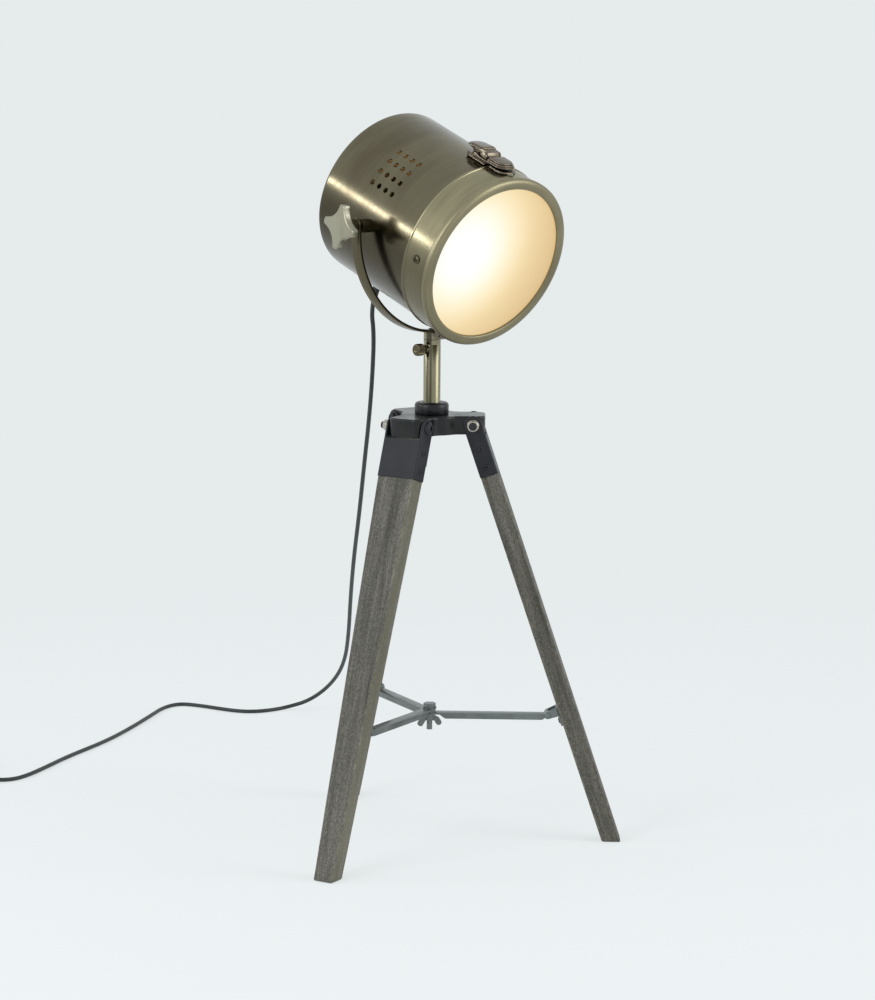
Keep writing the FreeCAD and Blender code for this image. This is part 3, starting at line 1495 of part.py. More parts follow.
def tube(label, points):
    """The cord along a stretch: straight runs joined by arcs as large as the runs allow."""
    runs = [(b - a).Length for a, b in zip(points, points[1:])]
    edges, radii = [], []
    last = points[0]
    for i in range(1, len(points) - 1):
        back = (points[i - 1] - points[i]).normalize()
        ahead = (points[i + 1] - points[i]).normalize()
        half_turn = (math.pi - back.getAngle(ahead)) / 2
        cut = 0.45 * min(runs[i - 1], runs[i])
        radius = cut / math.tan(half_turn)
        radii.append(round(radius))
        start, end = points[i] + back * cut, points[i] + ahead * cut
        inward = (back + ahead).normalize() * (radius / math.cos(half_turn) - radius)
        edges.append(Part.LineSegment(last, start).toShape())
        edges.append(Part.Arc(start, points[i] + inward, end).toShape())
        last = end
    edges.append(Part.LineSegment(last, points[-1]).toShape())
    path = Part.Wire(edges)
    thick = value("cord_d")
    ring = Part.Wire([Part.Circle(points[0], points[1] - points[0], thick / 2).toShape()])
    solid = path.makePipeShell([ring], True, False)
    wanted = math.pi * thick**2 / 4 * path.Length
    if abs(solid.Volume / wanted - 1) > 0.01:
        raise RuntimeError("%s has a volume of %.0f, not %.0f" % (label, solid.Volume, wanted))
    print("%s: %.0f mm, radii %s" % (label, path.Length, radii))
    item = doc.addObject("Part::Feature", label)
    item.Label = label
    item.Shape = solid
    nodes.append(item)


def on_floor(body, ahead="0", aside="0", z="0", turn="0", pitch="0"):
    """Places a piece of the cord's far end, in the frame of the inline switch."""
    at(
        body,
        "%s+(%s)*cos(%s)-(%s)*sin(%s)" % (SWITCH_AT[0], ahead, AWAY, aside, AWAY),
        "%s+%s+(%s)*sin(%s)+(%s)*cos(%s)" % (SWITCH_AT[1], SHIFT, ahead, AWAY, aside, AWAY),
        z,
        yaw=AWAY + "+" + turn,
        pitch=pitch,
    )


def make_cord():
    """The cord's stretches: moved by the drum's tilt, by the yoke's pan, and lying still."""
    lift = (value(EXIT_Z) - 2) / (HANG_TOP - 2)
    shift = value(SHIFT)
    leave = FreeCAD.Vector(0, value(EXIT_Y), value(EXIT_Z))
    tilt = math.radians(value("head_tilt"))
    start = leave - FreeCAD.Vector(0, math.sin(tilt), -math.cos(tilt)) * 18
    hang = [FreeCAD.Vector(x, y + shift, 2 + (z - 2) * lift) for x, y, z in HANG]
    floor = [FreeCAD.Vector(x, y + shift, z) for x, y, z in FLOOR]
    floor[-1].z = value(ENTRY)
    route = [start, leave] + hang
    half = (route[TOP_RUNS] + route[TOP_RUNS + 1]) * 0.5
    step = (route[TOP_RUNS + 1] - route[TOP_RUNS]).normalize() * 0.03
    landing = (hang[-2] + hang[-1]) * 0.5
    rest = (hang[-1] - hang[-2]).normalize() * 0.03
    away = math.radians(float(AWAY))
    inlet = FreeCAD.Vector(
        SWITCH_AT[0] - value(INSIDE) * math.cos(away),
        SWITCH_AT[1] + shift - value(INSIDE) * math.sin(away),
        value(ENTRY),
    )
    tube("cord_top", route[: TOP_RUNS + 1] + [half - step])
    tube("cord_drop", [half + step] + route[TOP_RUNS + 1 : -1] + [landing - rest])
    tube("cord_floor", [landing + rest, hang[-1]] + floor + [inlet])

    lead = new_body("cord_lead")
    ring = new_sketch(lead, "YZ_Plane", INSIDE)
    circle(ring, "0", ENTRY, "cord_d")
    pad(lead, ring, "coil_ahead-%s-0.1-%s" % (COIL_REACH, INSIDE))
    on_floor(lead)

    coil = new_body("cord_coil")
    section = new_sketch(coil, "XZ_Plane")
    inn, edge = "(coil_mean-cord_d-2*fit_gap)", "cord_d*0.3"
    low, high = "cord_d*0.15", "cord_d*2.2"
    outline(
        section,
        [
            (inn, low + "+" + edge),
            (inn + "+" + edge, low),
            (COIL_OUT + "-" + edge, low),
            (COIL_OUT, low + "+" + edge),
            (COIL_OUT, high + "-" + edge),
            (COIL_OUT + "-" + edge, high),
            (inn + "+" + edge, high),
            (inn, high + "-" + edge),
        ],
    )
    revolve(coil, section, "V_Axis")
    on_floor(coil, "coil_ahead", "-" + COIL_OFF)

    tail = new_body("cord_tail")
    end = new_sketch(tail, "YZ_Plane", "plug_long/2+9")
    circle(end, "0", "plug_tall/2", "cord_d")
    pad(tail, end, "coil_ahead+6-%s-0.1-(plug_long/2+9)" % COIL_REACH)
    on_floor(tail, "-6", "-2*" + COIL_OFF)


def switch_half(label, low, high, ends):
    """One half of the inline switch's shell: a rounded box, hollow towards the other half."""
    shell = new_body(label)
    plan = new_sketch(shell, "XY_Plane", low)
    x, y, r = "switch_long/2", "switch_wide/2", "switch_wide*0.3"
    outline(
        plan,
        [
            ("-%s+%s" % (x, r), "-" + y),
            ("%s-%s" % (x, r), "-" + y, r, 1),
            (x, "-%s+%s" % (y, r)),
            (x, "%s-%s" % (y, r), r, 1),
            ("%s-%s" % (x, r), y),
            ("-%s+%s" % (x, r), y, r, 1),
            ("-" + x, "%s-%s" % (y, r)),
            ("-" + x, "-%s+%s" % (y, r), r, 1),
        ],
    )
    pad(shell, plan, "%s-%s" % (high, low))
    flat = value(ends)
    dress(
        shell,
        "Fillet",
        "1.6",
        lambda e: all(abs(v.Z - flat) < 1e-4 for v in e.Vertexes),
    )
    cords = new_sketch(shell, "YZ_Plane")
    circle(cords, "0", ENTRY, "cord_d+2*fit_gap")
    pocket(shell, cords, "switch_long+4", Midplane=True)
    return shell


def make_switch():
    """Inline switch: two half shells, and a rocker on trunnions in the upper one."""
    lower = switch_half("switch_lower", "0", ENTRY, "0")
    well = new_sketch(lower, "XY_Plane", "1.8")
    inner = "switch_long/2-6", "switch_wide/2-1.8"
    box_outline(well, "-(%s)" % inner[0], inner[0], "-(%s)" % inner[1], inner[1])
    pocket(lower, well, "switch_tall", Reversed=True)
    on_floor(lower)

    seam = "(%s+fit_gap)" % ENTRY
    upper = switch_half("switch_upper", seam, "switch_tall", "switch_tall")
    room = new_sketch(upper, "XY_Plane", "switch_tall-1.8")
    box_outline(room, "-(%s)" % inner[0], inner[0], "-(%s)" % inner[1], inner[1])
    pocket(upper, room, "switch_tall")
    slot = new_sketch(upper, "XY_Plane", "switch_tall+1")
    box_outline(slot, "-(rocker_long/2+0.9)", "rocker_long/2+0.9", "-5.4", "5.4")
    pocket(upper, slot, "4")
    ribs = new_sketch(upper, "XY_Plane", "switch_tall-1.9")
    for way in ("", "-"):
        box_outline(ribs, "-4", "4", way + "5.4", way + "7.4")
    pad(upper, ribs, "switch_tall-1.9-%s-0.6" % seam, Reversed=True)
    trunnions = new_sketch(upper, "XZ_Plane")
    circle(trunnions, "0", "switch_tall-3.6", "3+2*fit_gap")
    pocket(upper, trunnions, "16", Midplane=True)
    on_floor(upper)

    rocker = new_body("switch_rocker")
    side = new_sketch(rocker, "XZ_Plane")
    half = "rocker_long/2"
    outline(
        side,
        [
            (half + "-1.2", "-2.6"),
            (half, "5.2"),
            ("0", "4.3"),
            ("-" + half, "5.2"),
            ("-(%s-1.2)" % half, "-2.6"),
        ],
    )
    pad(rocker, side, "10.2", Midplane=True)
    pivot = new_sketch(rocker, "XZ_Plane")
    circle(pivot, "0", "0", "3")
    pad(rocker, pivot, "14.4", Midplane=True)
    on_floor(rocker, z="switch_tall-3.6", pitch="8")


def make_plug():
    """Moulded flat plug with two round pins and a cord sleeve; it lies beside the coil."""
    plug = new_body("plug_body")
    mid = "plug_tall/2"
    plan = new_sketch(plug, "XY_Plane")
    back, front = "plug_long/2", "-plug_long/2"
    outline(
        plan,
        [
            (front, "-plug_wide/2"),
            (back + "-16", "-plug_wide/2"),
            (back, "-plug_wide*0.24"),
            (back, "plug_wide*0.24"),
            (back + "-16", "plug_wide/2"),
            (front, "plug_wide/2"),
        ],
    )
    pad(plug, plan, "plug_tall")
    dress(plug, "Fillet", "2.5", lambda e: e.CenterOfMass.x > value(front) + 1)
    sleeve = new_sketch(plug, "XY_Plane", mid)
    outline(
        sleeve,
        [
            (back + "-4", "0"),
            (back + "+12", "0"),
            (back + "+12", "cord_d*0.85"),
            (back + "-4", "cord_d*1.3"),
        ],
    )
    revolve(plug, sleeve)
    bore = new_sketch(plug, "YZ_Plane", back + "+12.5")
    circle(bore, "0", mid, "cord_d+2*fit_gap")
    pocket(plug, bore, "4.5", Reversed=False)
    sockets = new_sketch(plug, "YZ_Plane", front + "-1")
    for y in ("-9.5", "9.5"):
        circle(sockets, y, mid, "plug_pin_d+2*fit_gap")
    pocket(plug, sockets, "9", Reversed=True)
    on_floor(plug, "-6", "-2*" + COIL_OFF)

    pins = new_body("plug_pins")
    ends = new_sketch(pins, "YZ_Plane", front + "-plug_pin_long")
    for y in ("-9.5", "9.5"):
        circle(ends, y, mid, "plug_pin_d")
    pad(pins, ends, "plug_pin_long+7.5")
    nose = value(front + "-plug_pin_long")
    dress(pins, "Fillet", "plug_pin_d*0.3", lambda e: abs(e.CenterOfMass.x - nose) < 1e-3)
    on_floor(pins, "-6", "-2*" + COIL_OFF)


# --- the whole lamp ---------------------------------------------------------------------------

make_hub()
make_hub_bolts()
for leg in LEGS:
    make_leg(leg)
    make_sleeve(leg)
    make_leg_screws(leg)
    make_bracket(leg)
    make_brace(leg)
make_centre_bolt()
make_wing_nut()
make_collar()
make_pole_nut()
make_pole()
make_yoke()
make_yoke_stem()
make_thumb_screw()
make_drum()
make_pivot_bushes()
for side in ("left", "right"):
    make_knob(side)
make_gland()
make_latch_base()
make_latch_lever()
make_latch_link()
make_catch()
make_rivets()
make_hinge()
make_door()
make_lamp()
make_cord()
make_switch()
make_plug()

doc.recompute()
for item in doc.Objects:
    if {"Invalid", "Error"} & set(item.State):
        raise RuntimeError("%s could not be built: %s" % (item.Label, item.State))
os.makedirs("parts", exist_ok=True)
for node in nodes:
    shape = node.Shape
    if shape.isNull() or not shape.isValid() or not shape.Solids:
        raise RuntimeError("%s has no valid solid" % node.Label)
    shape.exportStep("parts/%s.step" % node.Label)
print("%d nodes" % len(nodes))
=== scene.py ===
"""Looks of a tabletop searchlight on a folding wooden tripod, laid out as an add-on and run as a script."""
import json
import math

import bpy
import numpy as np
from mathutils import Matrix, Vector


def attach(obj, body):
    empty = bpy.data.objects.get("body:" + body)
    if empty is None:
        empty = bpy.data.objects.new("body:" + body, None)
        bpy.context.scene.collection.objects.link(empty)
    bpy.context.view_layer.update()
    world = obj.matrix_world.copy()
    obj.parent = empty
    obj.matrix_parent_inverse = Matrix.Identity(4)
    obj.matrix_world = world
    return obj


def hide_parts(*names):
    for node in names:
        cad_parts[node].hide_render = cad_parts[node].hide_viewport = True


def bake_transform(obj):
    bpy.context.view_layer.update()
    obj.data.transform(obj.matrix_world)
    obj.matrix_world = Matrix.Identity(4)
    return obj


bl_info = {
    "name": "Tabletop searchlight",
    "version": (1, 0, 0),
    "blender": (4, 5, 0),
    "location": "3D View > Sidebar > Searchlight",
    "description": "Builds the pieces and finishes of a searchlight lamp on a wooden tripod",
    "category": "Add Mesh",
}

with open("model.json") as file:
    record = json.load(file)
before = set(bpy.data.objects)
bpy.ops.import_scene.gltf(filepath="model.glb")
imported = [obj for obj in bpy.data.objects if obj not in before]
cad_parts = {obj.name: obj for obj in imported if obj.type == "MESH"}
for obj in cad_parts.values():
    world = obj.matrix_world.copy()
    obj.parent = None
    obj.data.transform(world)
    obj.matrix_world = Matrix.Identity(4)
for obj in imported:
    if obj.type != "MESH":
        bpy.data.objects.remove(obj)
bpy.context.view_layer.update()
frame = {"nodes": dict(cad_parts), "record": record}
MM = 0.001

# Places and angles that several pieces share, in millimetres and degrees: the dip of the drum and
# the height of its tilt axis; the legs' bearings, their splay, and the ring of their hinge bolts;
# the brace pins' distance from the pole and the tops of the stacked braces; and the inline switch.
DIP, PIVOT = 21, 549.0
LEG_AZIMUTHS = {"a": -163.5, "b": -43.5, "c": 76.5}
SPLAY, HINGE_RADIUS, HINGE_HEIGHT = 18.7, 36.5, 374
BRACE_PIN, BRACE_TOPS = 105, {"a": 118.0, "c": 116.4, "b": 114.8}
SWITCH_PLACE, SWITCH_TURN = (-228.6, 445.3, 0), 138.0


# --- sizes and colours ------------------------------------------------------------------------


def length(default, description):
    """A size in metres, entered here in millimetres."""
    return bpy.props.FloatProperty(
        name=description.split(",")[0].capitalize(),
        description=description,
        default=default * MM,
        min=0.0,
        unit="LENGTH",
        precision=5,
    )


def colour(red, green, blue, description):
    """A colour given as it looks on a screen, 0 to 255, and kept as light."""
    light = [
        c / 255 / 12.92 if c < 10.3 else ((c / 255 + 0.055) / 1.055) ** 2.4
        for c in (red, green, blue)
    ]
    return bpy.props.FloatVectorProperty(
        name=description.split(",")[0].capitalize(),
        description=description,
        default=light,
        size=3,
        min=0.0,
        max=1.0,
        subtype="COLOR",
    )


class HeadSizes(bpy.types.PropertyGroup):
    """Sizes of the drum, its door and the catch."""

    drum_radius: length(75, "drum radius, outside")
    drum_wall: length(1.2, "drum sheet thickness")
    drum_rear: length(67, "drum back, behind the tilt axis")
    drum_front: length(53, "drum front, ahead of the tilt axis")
    drum_corner: length(3.5, "rounding of the drum's back edge")
    vent_radius: length(2.5, "vent hole radius")
    vent_pitch: length(8.9, "vent spacing along the drum")
    band_radius: length(76, "door band radius, outside")
    bead: length(1.0, "rolled bead on the band's back edge, proud of the band")
    bezel_radius: length(77, "bezel radius, outside")
    bezel_front: length(86.3, "bezel front, ahead of the tilt axis")
    glass_opening: length(68, "bezel opening radius")


class YokeSizes(bpy.types.PropertyGroup):
    """Sizes of the yoke, its knobs and the pole."""

    yoke_inner: length(86, "yoke inside radius")
    yoke_wall: length(2.5, "yoke strip thickness")
    yoke_wide: length(11, "yoke strip width")
    yoke_drop: length(7, "yoke bend's centre, below the tilt axis")
    knob_tip: length(19.5, "star knob, centre to point")
    knob_plate: length(7, "star knob plate thickness")
    pole_radius: length(7.5, "pole radius")
    collar_radius: length(15, "collar radius")
    thumb_radius: length(5.3, "thumb screw head radius")


class TripodSizes(bpy.types.PropertyGroup):
    """Sizes of the legs and their fittings."""

    leg_top: length(38, "board width under the sleeve")
    leg_foot: length(19, "board width at the floor")
    leg_thick: length(16, "board thickness")
    leg_edge: length(1.5, "rounding of the board's edges")
    screw_radius: length(2.8, "small screw head radius")
    brace_wide: length(11, "brace channel width")
    brace_depth: length(5, "brace channel depth")


class Finishes(bpy.types.PropertyGroup):
    """Colours of the finishes."""

    brass: colour(124, 117, 96, "aged brass, where the brushing is light")
    brass_dark: colour(94, 85, 68, "aged brass, in its stains")
    bezel_brass: colour(166, 158, 128, "bezel and band brass, worn lighter")
    pole_brass: colour(176, 172, 144, "pole brass")
    yoke_brass: colour(104, 97, 74, "yoke and stud brass")
    knob_brass: colour(174, 171, 152, "knob brass, bare face")
    wood: colour(134, 132, 123, "wood, between its pores")
    wood_dark: colour(70, 69, 62, "wood, in its pores and streaks")
    iron: colour(18, 20, 21, "black paint on the hub and collar")
    sleeve: colour(43, 45, 50, "slate paint on the leg sleeves")
    brace: colour(106, 112, 111, "grey paint on the braces")
    lacquer: colour(140, 120, 86, "lacquered brass inside the drum")
    nickel: colour(170, 165, 154, "nickel plating")
    bronze: colour(108, 98, 86, "dark bronze plating of the catch")
    sheath: colour(42, 47, 48, "cord sheath")
    moulding: colour(34, 35, 37, "black moulded plastic")
    glow: colour(255, 236, 196, "light of the bulb")
    backdrop: colour(230, 235, 236, "floor and backdrop")


# --- surfaces ---------------------------------------------------------------------------------


def grid(rows, columns, wrap_rows=False, wrap_columns=False):
    """Quads between neighbours of a rows by columns grid: corner k of cell (i, j) is (i, j) stepped
    along the columns, then the rows, with wrapping where asked."""
    i = np.arange(rows if wrap_rows else rows - 1)[:, None]
    j = np.arange(columns if wrap_columns else columns - 1)[None, :]
    up, along = (i + 1) % rows, (j + 1) % columns
    corners = [i * columns + j, i * columns + along, up * columns + along, up * columns + j]
    return np.stack(np.broadcast_arrays(*corners), -1).reshape(-1, 4)


def merged(points):
    """Points closer than a tenth of a micron counted as one: the number of the first of each such
    set, and for every point the number of its set."""
    _, first, index = np.unique(
        np.round(points * 1e4).astype(np.int64), axis=0, return_index=True, return_inverse=True
    )
    return first, index.reshape(-1)


def trimmed(quads):
    """Quads without the corners that repeat: the whole ones, then those left with three corners."""
    keep = quads != np.roll(quads, -1, axis=1)
    count = keep.sum(axis=1)
    thirds = quads[count == 3][keep[count == 3]].reshape(-1, 3)
    return [*map(tuple, quads[count == 4]), *map(tuple, thirds)]


def weld(points, faces):
    """A shell whose close points are merged and whose faces have lost the corners that repeat."""
    first, index = merged(points)
    quads = [f for f in faces if len(f) == 4]
    others = [tuple(index[list(f)]) for f in faces if len(f) != 4]
    return points[first], [*trimmed(index[np.array(quads)]), *others]


def stack(rings, count):
    """Faces of a stack of rings of as many points each: quads between them, and both ends flat."""
    last = (rings - 1) * count
    ends = [tuple(range(count))[::-1], tuple(range(last, last + count))]
    return [*map(tuple, grid(rings, count, wrap_columns=True)), *ends]


def together(*shells):
    """Several shells as one: their points in a row, with each face's numbers moved along."""
    points, faces, start = [], [], 0
    for p, f in shells:
        points.append(p)
        faces += [tuple(int(i) + start for i in corner) for corner in f]
        start += len(p)
    return np.concatenate(points), faces


def outward(points, faces):
    """Faces turned to point out: the signed volume, a sixth of the sum of each triangle's corner
    product about the origin, is positive for a closed shell that points out."""
    total = 0.0
    for size in (3, 4):
        same = np.array([f for f in faces if len(f) == size])
        if len(same):
            a = points[same[:, 0]]
            for k in range(1, size - 1):
                total += np.einsum("ij,ij->", a, np.cross(points[same[:, k]], points[same[:, k + 1]]))
    for f in faces:
        if len(f) > 4:
            ring = points[list(f)]
            total += np.einsum(
                "ij,ij->", np.broadcast_to(ring[0], ring[1:-1].shape), np.cross(ring[1:-1], ring[2:])
            )
    return (points, faces) if total > 0 else (points, [tuple(f)[::-1] for f in faces])


def polar(radii, heights, turns, loop=False):
    """Rings about the Z axis: (x, y, z) = (r cos t, r sin t, h), where ring k has radii[k] and
    heights[k], each one number or one for every angle t. A loop joins the last ring to the first."""
    t = np.linspace(0, 2 * np.pi, turns, endpoint=False)
    r = np.array([np.broadcast_to(np.asarray(x, float), (turns,)) for x in radii])
    h = np.array([np.broadcast_to(np.asarray(x, float), (turns,)) for x in heights])
    points = np.stack([r * np.cos(t), r * np.sin(t), h], -1).reshape(-1, 3)
    return outward(*weld(points, grid(len(r), turns, wrap_rows=loop, wrap_columns=True)))


def lathe(profile, turns=96, loop=False):
    """A profile of (radius, height) pairs turned about the Z axis."""
    profile = np.asarray(profile, float)
    return polar(profile[:, 0], profile[:, 1], turns, loop)


def softened(corners, steps=5):
    """A closed outline of (x, y, radius) corners with each corner replaced by an arc: the arc's
    centre lies on the corner's bisector, radius / sin(half angle) from it."""
    corners = np.asarray(corners, float)
    p, radius = corners[:, :2], corners[:, 2]
    before, after = np.roll(p, 1, axis=0) - p, np.roll(p, -1, axis=0) - p
    b = before / np.linalg.norm(before, axis=1, keepdims=True)
    a = after / np.linalg.norm(after, axis=1, keepdims=True)
    half = np.arccos(np.clip((a * b).sum(1), -1, 1)) / 2
    middle = (a + b) / np.maximum(np.linalg.norm(a + b, axis=1, keepdims=True), 1e-9)
    centre = p + middle * (radius / np.sin(half))[:, None]
    start = p + b * (radius / np.tan(half))[:, None] - centre
    end = p + a * (radius / np.tan(half))[:, None] - centre
    sweep = np.arctan2(start[:, 0] * end[:, 1] - start[:, 1] * end[:, 0], (start * end).sum(1))
    t = np.linspace(0, 1, steps)[None, :] * sweep[:, None]
    x = centre[:, :1] + start[:, :1] * np.cos(t) - start[:, 1:] * np.sin(t)
    y = centre[:, 1:] + start[:, :1] * np.sin(t) + start[:, 1:] * np.cos(t)
    return np.stack([x, y], -1).reshape(-1, 2)


def slab(outline, stations):
    """A plate of that outline in X and Y: ring k is the outline drawn in by stations[k][0] along
    its own normals, at height stations[k][1]. Its first and last rings are closed flat."""
    p = np.asarray(outline, float)
    p = p[np.linalg.norm(p - np.roll(p, 1, axis=0), axis=1) > 1e-6]
    if ((p * np.roll(np.roll(p, -1, axis=0), 1, axis=1) * [1, -1]).sum()) < 0:
        p = p[::-1]
    ahead = np.roll(p, -1, axis=0) - p
    ahead /= np.linalg.norm(ahead, axis=1, keepdims=True)
    back = np.roll(ahead, 1, axis=0)
    n1, n2 = np.stack([ahead[:, 1], -ahead[:, 0]], -1), np.stack([back[:, 1], -back[:, 0]], -1)
    normal = (n1 + n2) / (1 + (n1 * n2).sum(1, keepdims=True))
    rings = [np.column_stack([p - normal * inset, np.full(len(p), z)]) for inset, z in stations]
    return outward(np.concatenate(rings), stack(len(rings), len(p)))


def carried(section, path, across, up):
    """A section of (side, height) pairs carried along a path: (path + side * across + height * up)
    at each station, and both ends closed flat. section may differ from station to station."""
    path, across, up = (np.asarray(x, float) for x in (path, across, up))
    section = np.broadcast_to(np.asarray(section, float), (len(path),) + np.shape(section)[-2:])
    points = path[:, None] + section[..., :1] * across[:, None] + section[..., 1:] * up[:, None]
    return outward(*weld(points.reshape(-1, 3), stack(*section.shape[:2])))


def thickened(points, faces, inner):
    """A sheet given its wall: the faces, the same faces reversed on the inner points, and a quad
    over every edge that only one face has."""
    edges = []
    for size in (3, 4):
        same = np.array([f for f in faces if len(f) == size])
        edges += [same[:, [k, (k + 1) % size]] for k in range(size)]
    edges = np.concatenate(edges)
    _, index, count = np.unique(np.sort(edges, axis=1), axis=0, return_inverse=True, return_counts=True)
    rim = edges[count[index.reshape(-1)] == 1]
    start = len(points)
    made = [tuple(f) for f in faces]
    made += [tuple(int(i) + start for i in f)[::-1] for f in faces]
    made += [(int(b), int(a), int(a) + start, int(b) + start) for a, b in rim]
    return np.concatenate([points, inner]), made


def turned(points, yaw=0.0, pitch=0.0, roll=0.0, at=(0, 0, 0)):
    """Points turned about X, then Y, then Z, in degrees, and moved."""
    angles = [math.radians(a) for a in (roll, pitch, yaw)]
    cx, cy, cz = (math.cos(a) for a in angles)
    sx, sy, sz = (math.sin(a) for a in angles)
    rx = np.array([[1, 0, 0], [0, cx, -sx], [0, sx, cx]])
    ry = np.array([[cy, 0, sy], [0, 1, 0], [-sy, 0, cy]])
    rz = np.array([[cz, -sz, 0], [sz, cz, 0], [0, 0, 1]])
    return np.asarray(points, float) @ (rz @ ry @ rx).T + np.asarray(at, float)


def in_head(points):
    """From the drum's frame, whose X is the tilt axis and whose -Y is the beam, to the lamp's."""
    return turned(points, roll=DIP, at=(0, 0, PIVOT))


def on_leg(points, leg):
    """From a leg's frame, with its bolt along Y and the board down -Z, to the lamp's."""
    angle = math.radians(LEG_AZIMUTHS[leg])
    hinge = (HINGE_RADIUS * math.cos(angle), HINGE_RADIUS * math.sin(angle), HINGE_HEIGHT)
    return turned(points, yaw=LEG_AZIMUTHS[leg], pitch=-SPLAY, at=hinge)


def at_switch(points):
    """From the inline switch's frame to the lamp's."""
    return turned(points, yaw=SWITCH_TURN, at=SWITCH_PLACE)


def on_side(points):
    """Points with their axes moved round by one, so that what stood along Z lies along X."""
    return np.stack([points[:, 2], points[:, 0], points[:, 1]], -1)


def placed(shell, place, *which, **turn):
    """A shell whose points are carried to another frame by place."""
    return place(shell[0], *which, **turn), shell[1]


def piece(name, shell, finish, body, replaces=(), crease=32, fields=None, inside=None):
    """Makes one object from a shell in millimetres, with soft shading up to the crease angle.
    fields are values kept on its points. inside is a second finish, the number of the first face
    that takes it, and the number of the first face after those."""
    points, faces = shell
    mesh = bpy.data.meshes.new(name)
    mesh.from_pydata((np.asarray(points) * MM).tolist(), [], [[int(i) for i in f] for f in faces])
    if mesh.validate():
        raise RuntimeError("%s has faces that can't stand" % name)
    mesh.shade_smooth()
    mesh.set_sharp_from_angle(angle=math.radians(crease))
    for label, values in (fields or {}).items():
        flat = np.asarray(values, np.float32)
        kind = "FLOAT_VECTOR" if flat.ndim == 2 else "FLOAT"
        mesh.attributes.new(label, kind, "POINT").data.foreach_set(
            "vector" if flat.ndim == 2 else "value", flat.ravel()
        )
    mesh.materials.append(finish)
    if inside:
        mesh.materials.append(inside[0])
        which = np.arange(len(mesh.polygons))
        inner = (which >= inside[1]) & (which < inside[2])
        mesh.polygons.foreach_set("material_index", inner.astype(np.int32))
    made = bpy.data.objects.new(name, mesh)
    bpy.context.scene.collection.objects.link(made)
    if body:
        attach(made, body)
    if replaces:
        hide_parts(*replaces)
    return made


# --- finishes ---------------------------------------------------------------------------------


class Sketch:
    """Short hand for laying out shader nodes in one tree."""

    def __init__(self, tree):
        self.tree = tree

    def node(self, kind, *links, **settings):
        """A node of that kind; links go to its inputs in order, or by name in settings."""
        made = self.tree.nodes.new("ShaderNode" + kind)
        inputs = {}
        for key, value in settings.items():
            if hasattr(made, key) and key not in made.inputs:
                setattr(made, key, value)
            else:
                inputs[key.replace("_", " ")] = value
        for index, value in enumerate(links):
            self.put(made.inputs[index], value)
        for key, value in inputs.items():
            self.put(made.inputs[key], value)
        return made

    def put(self, socket, value):
        """Links a socket to another, or sets its own value."""
        if isinstance(value, bpy.types.NodeSocket):
            self.tree.links.new(value, socket)
        elif value is not None:
            socket.default_value = value

    def maths(self, operation, *values):
        """The outcome of a sum, such as ADD or MULTIPLY, on the values."""
        return self.node("Math", *values, operation=operation).outputs[0]

    def noise(self, vector, scale, detail=3.0, roughness=0.55):
        """Soft noise around a half; a greater scale gives smaller lumps."""
        made = self.node("TexNoise", Vector=vector, Scale=scale, Detail=detail, Roughness=roughness)
        return made.outputs["Fac"]

    def span(self, value, low, high, to_low=0.0, to_high=1.0, smooth=True):
        """The value's share of the way from low to high, as a number between the other two."""
        made = self.node("MapRange")
        made.interpolation_type = "SMOOTHSTEP" if smooth else "LINEAR"
        for index, number in enumerate((value, low, high, to_low, to_high)):
            self.put(made.inputs[index], number)
        return made.outputs["Result"]

    def mix(self, factor, first, second):
        """Two colours mixed; the factor is the second one's share."""
        made = self.node("Mix", data_type="RGBA")
        self.put(made.inputs["Factor"], factor)
        self.put(made.inputs[6], first)
        self.put(made.inputs[7], second)
        return made.outputs[2]

    def stretched(self, vector, x, y, z):
        """A place multiplied along each axis."""
        made = self.node("VectorMath", vector, operation="MULTIPLY")
        self.put(made.inputs[1], (x, y, z))
        return made.outputs[0]


def rgba(values):
    """Red, green and blue with a full fourth part."""
    return (*values, 1.0)


def group(name, inputs, outputs, draw):
    """A shader group with named sockets; draw(sketch, inputs) gives its outputs' values in order."""
    if name in bpy.data.node_groups:
        return bpy.data.node_groups[name]
    tree = bpy.data.node_groups.new(name, "ShaderNodeTree")
    for label, kind, default in inputs:
        made = tree.interface.new_socket(label, in_out="INPUT", socket_type="NodeSocket" + kind)
        if default is not None:
            made.default_value = default
    for label, kind in outputs:
        tree.interface.new_socket(label, in_out="OUTPUT", socket_type="NodeSocket" + kind)
    sketch = Sketch(tree)
    entry, leave = tree.nodes.new("NodeGroupInput"), tree.nodes.new("NodeGroupOutput")
    found = draw(sketch, {label: entry.outputs[label] for label, _, _ in inputs})
    for (label, _), value in zip(outputs, found):
        sketch.put(leave.inputs[label], value)
    return tree


def brushing_group():
    """Fine scratches round an axis: noise squeezed along Y, so its streaks run round the Y axis."""

    def draw(s, i):
        fine = s.noise(s.stretched(i["Place"], 14, 4200, 14), 1.0, 2.0, 0.6)
        broad = s.noise(s.stretched(i["Place"], 7, 900, 7), 1.0, 3.0, 0.6)
        stain = s.noise(s.stretched(i["Place"], 7, 34, 7), 1.0, 4.0, 0.6)
        lines = s.maths("ADD", s.maths("MULTIPLY", fine, 0.6), s.maths("MULTIPLY", broad, 0.4))
        return [lines, s.span(stain, 0.32, 0.72)]

    return group(
        "brushing", [("Place", "Vector", None)], [("Lines", "Float"), ("Stain", "Float")], draw
    )


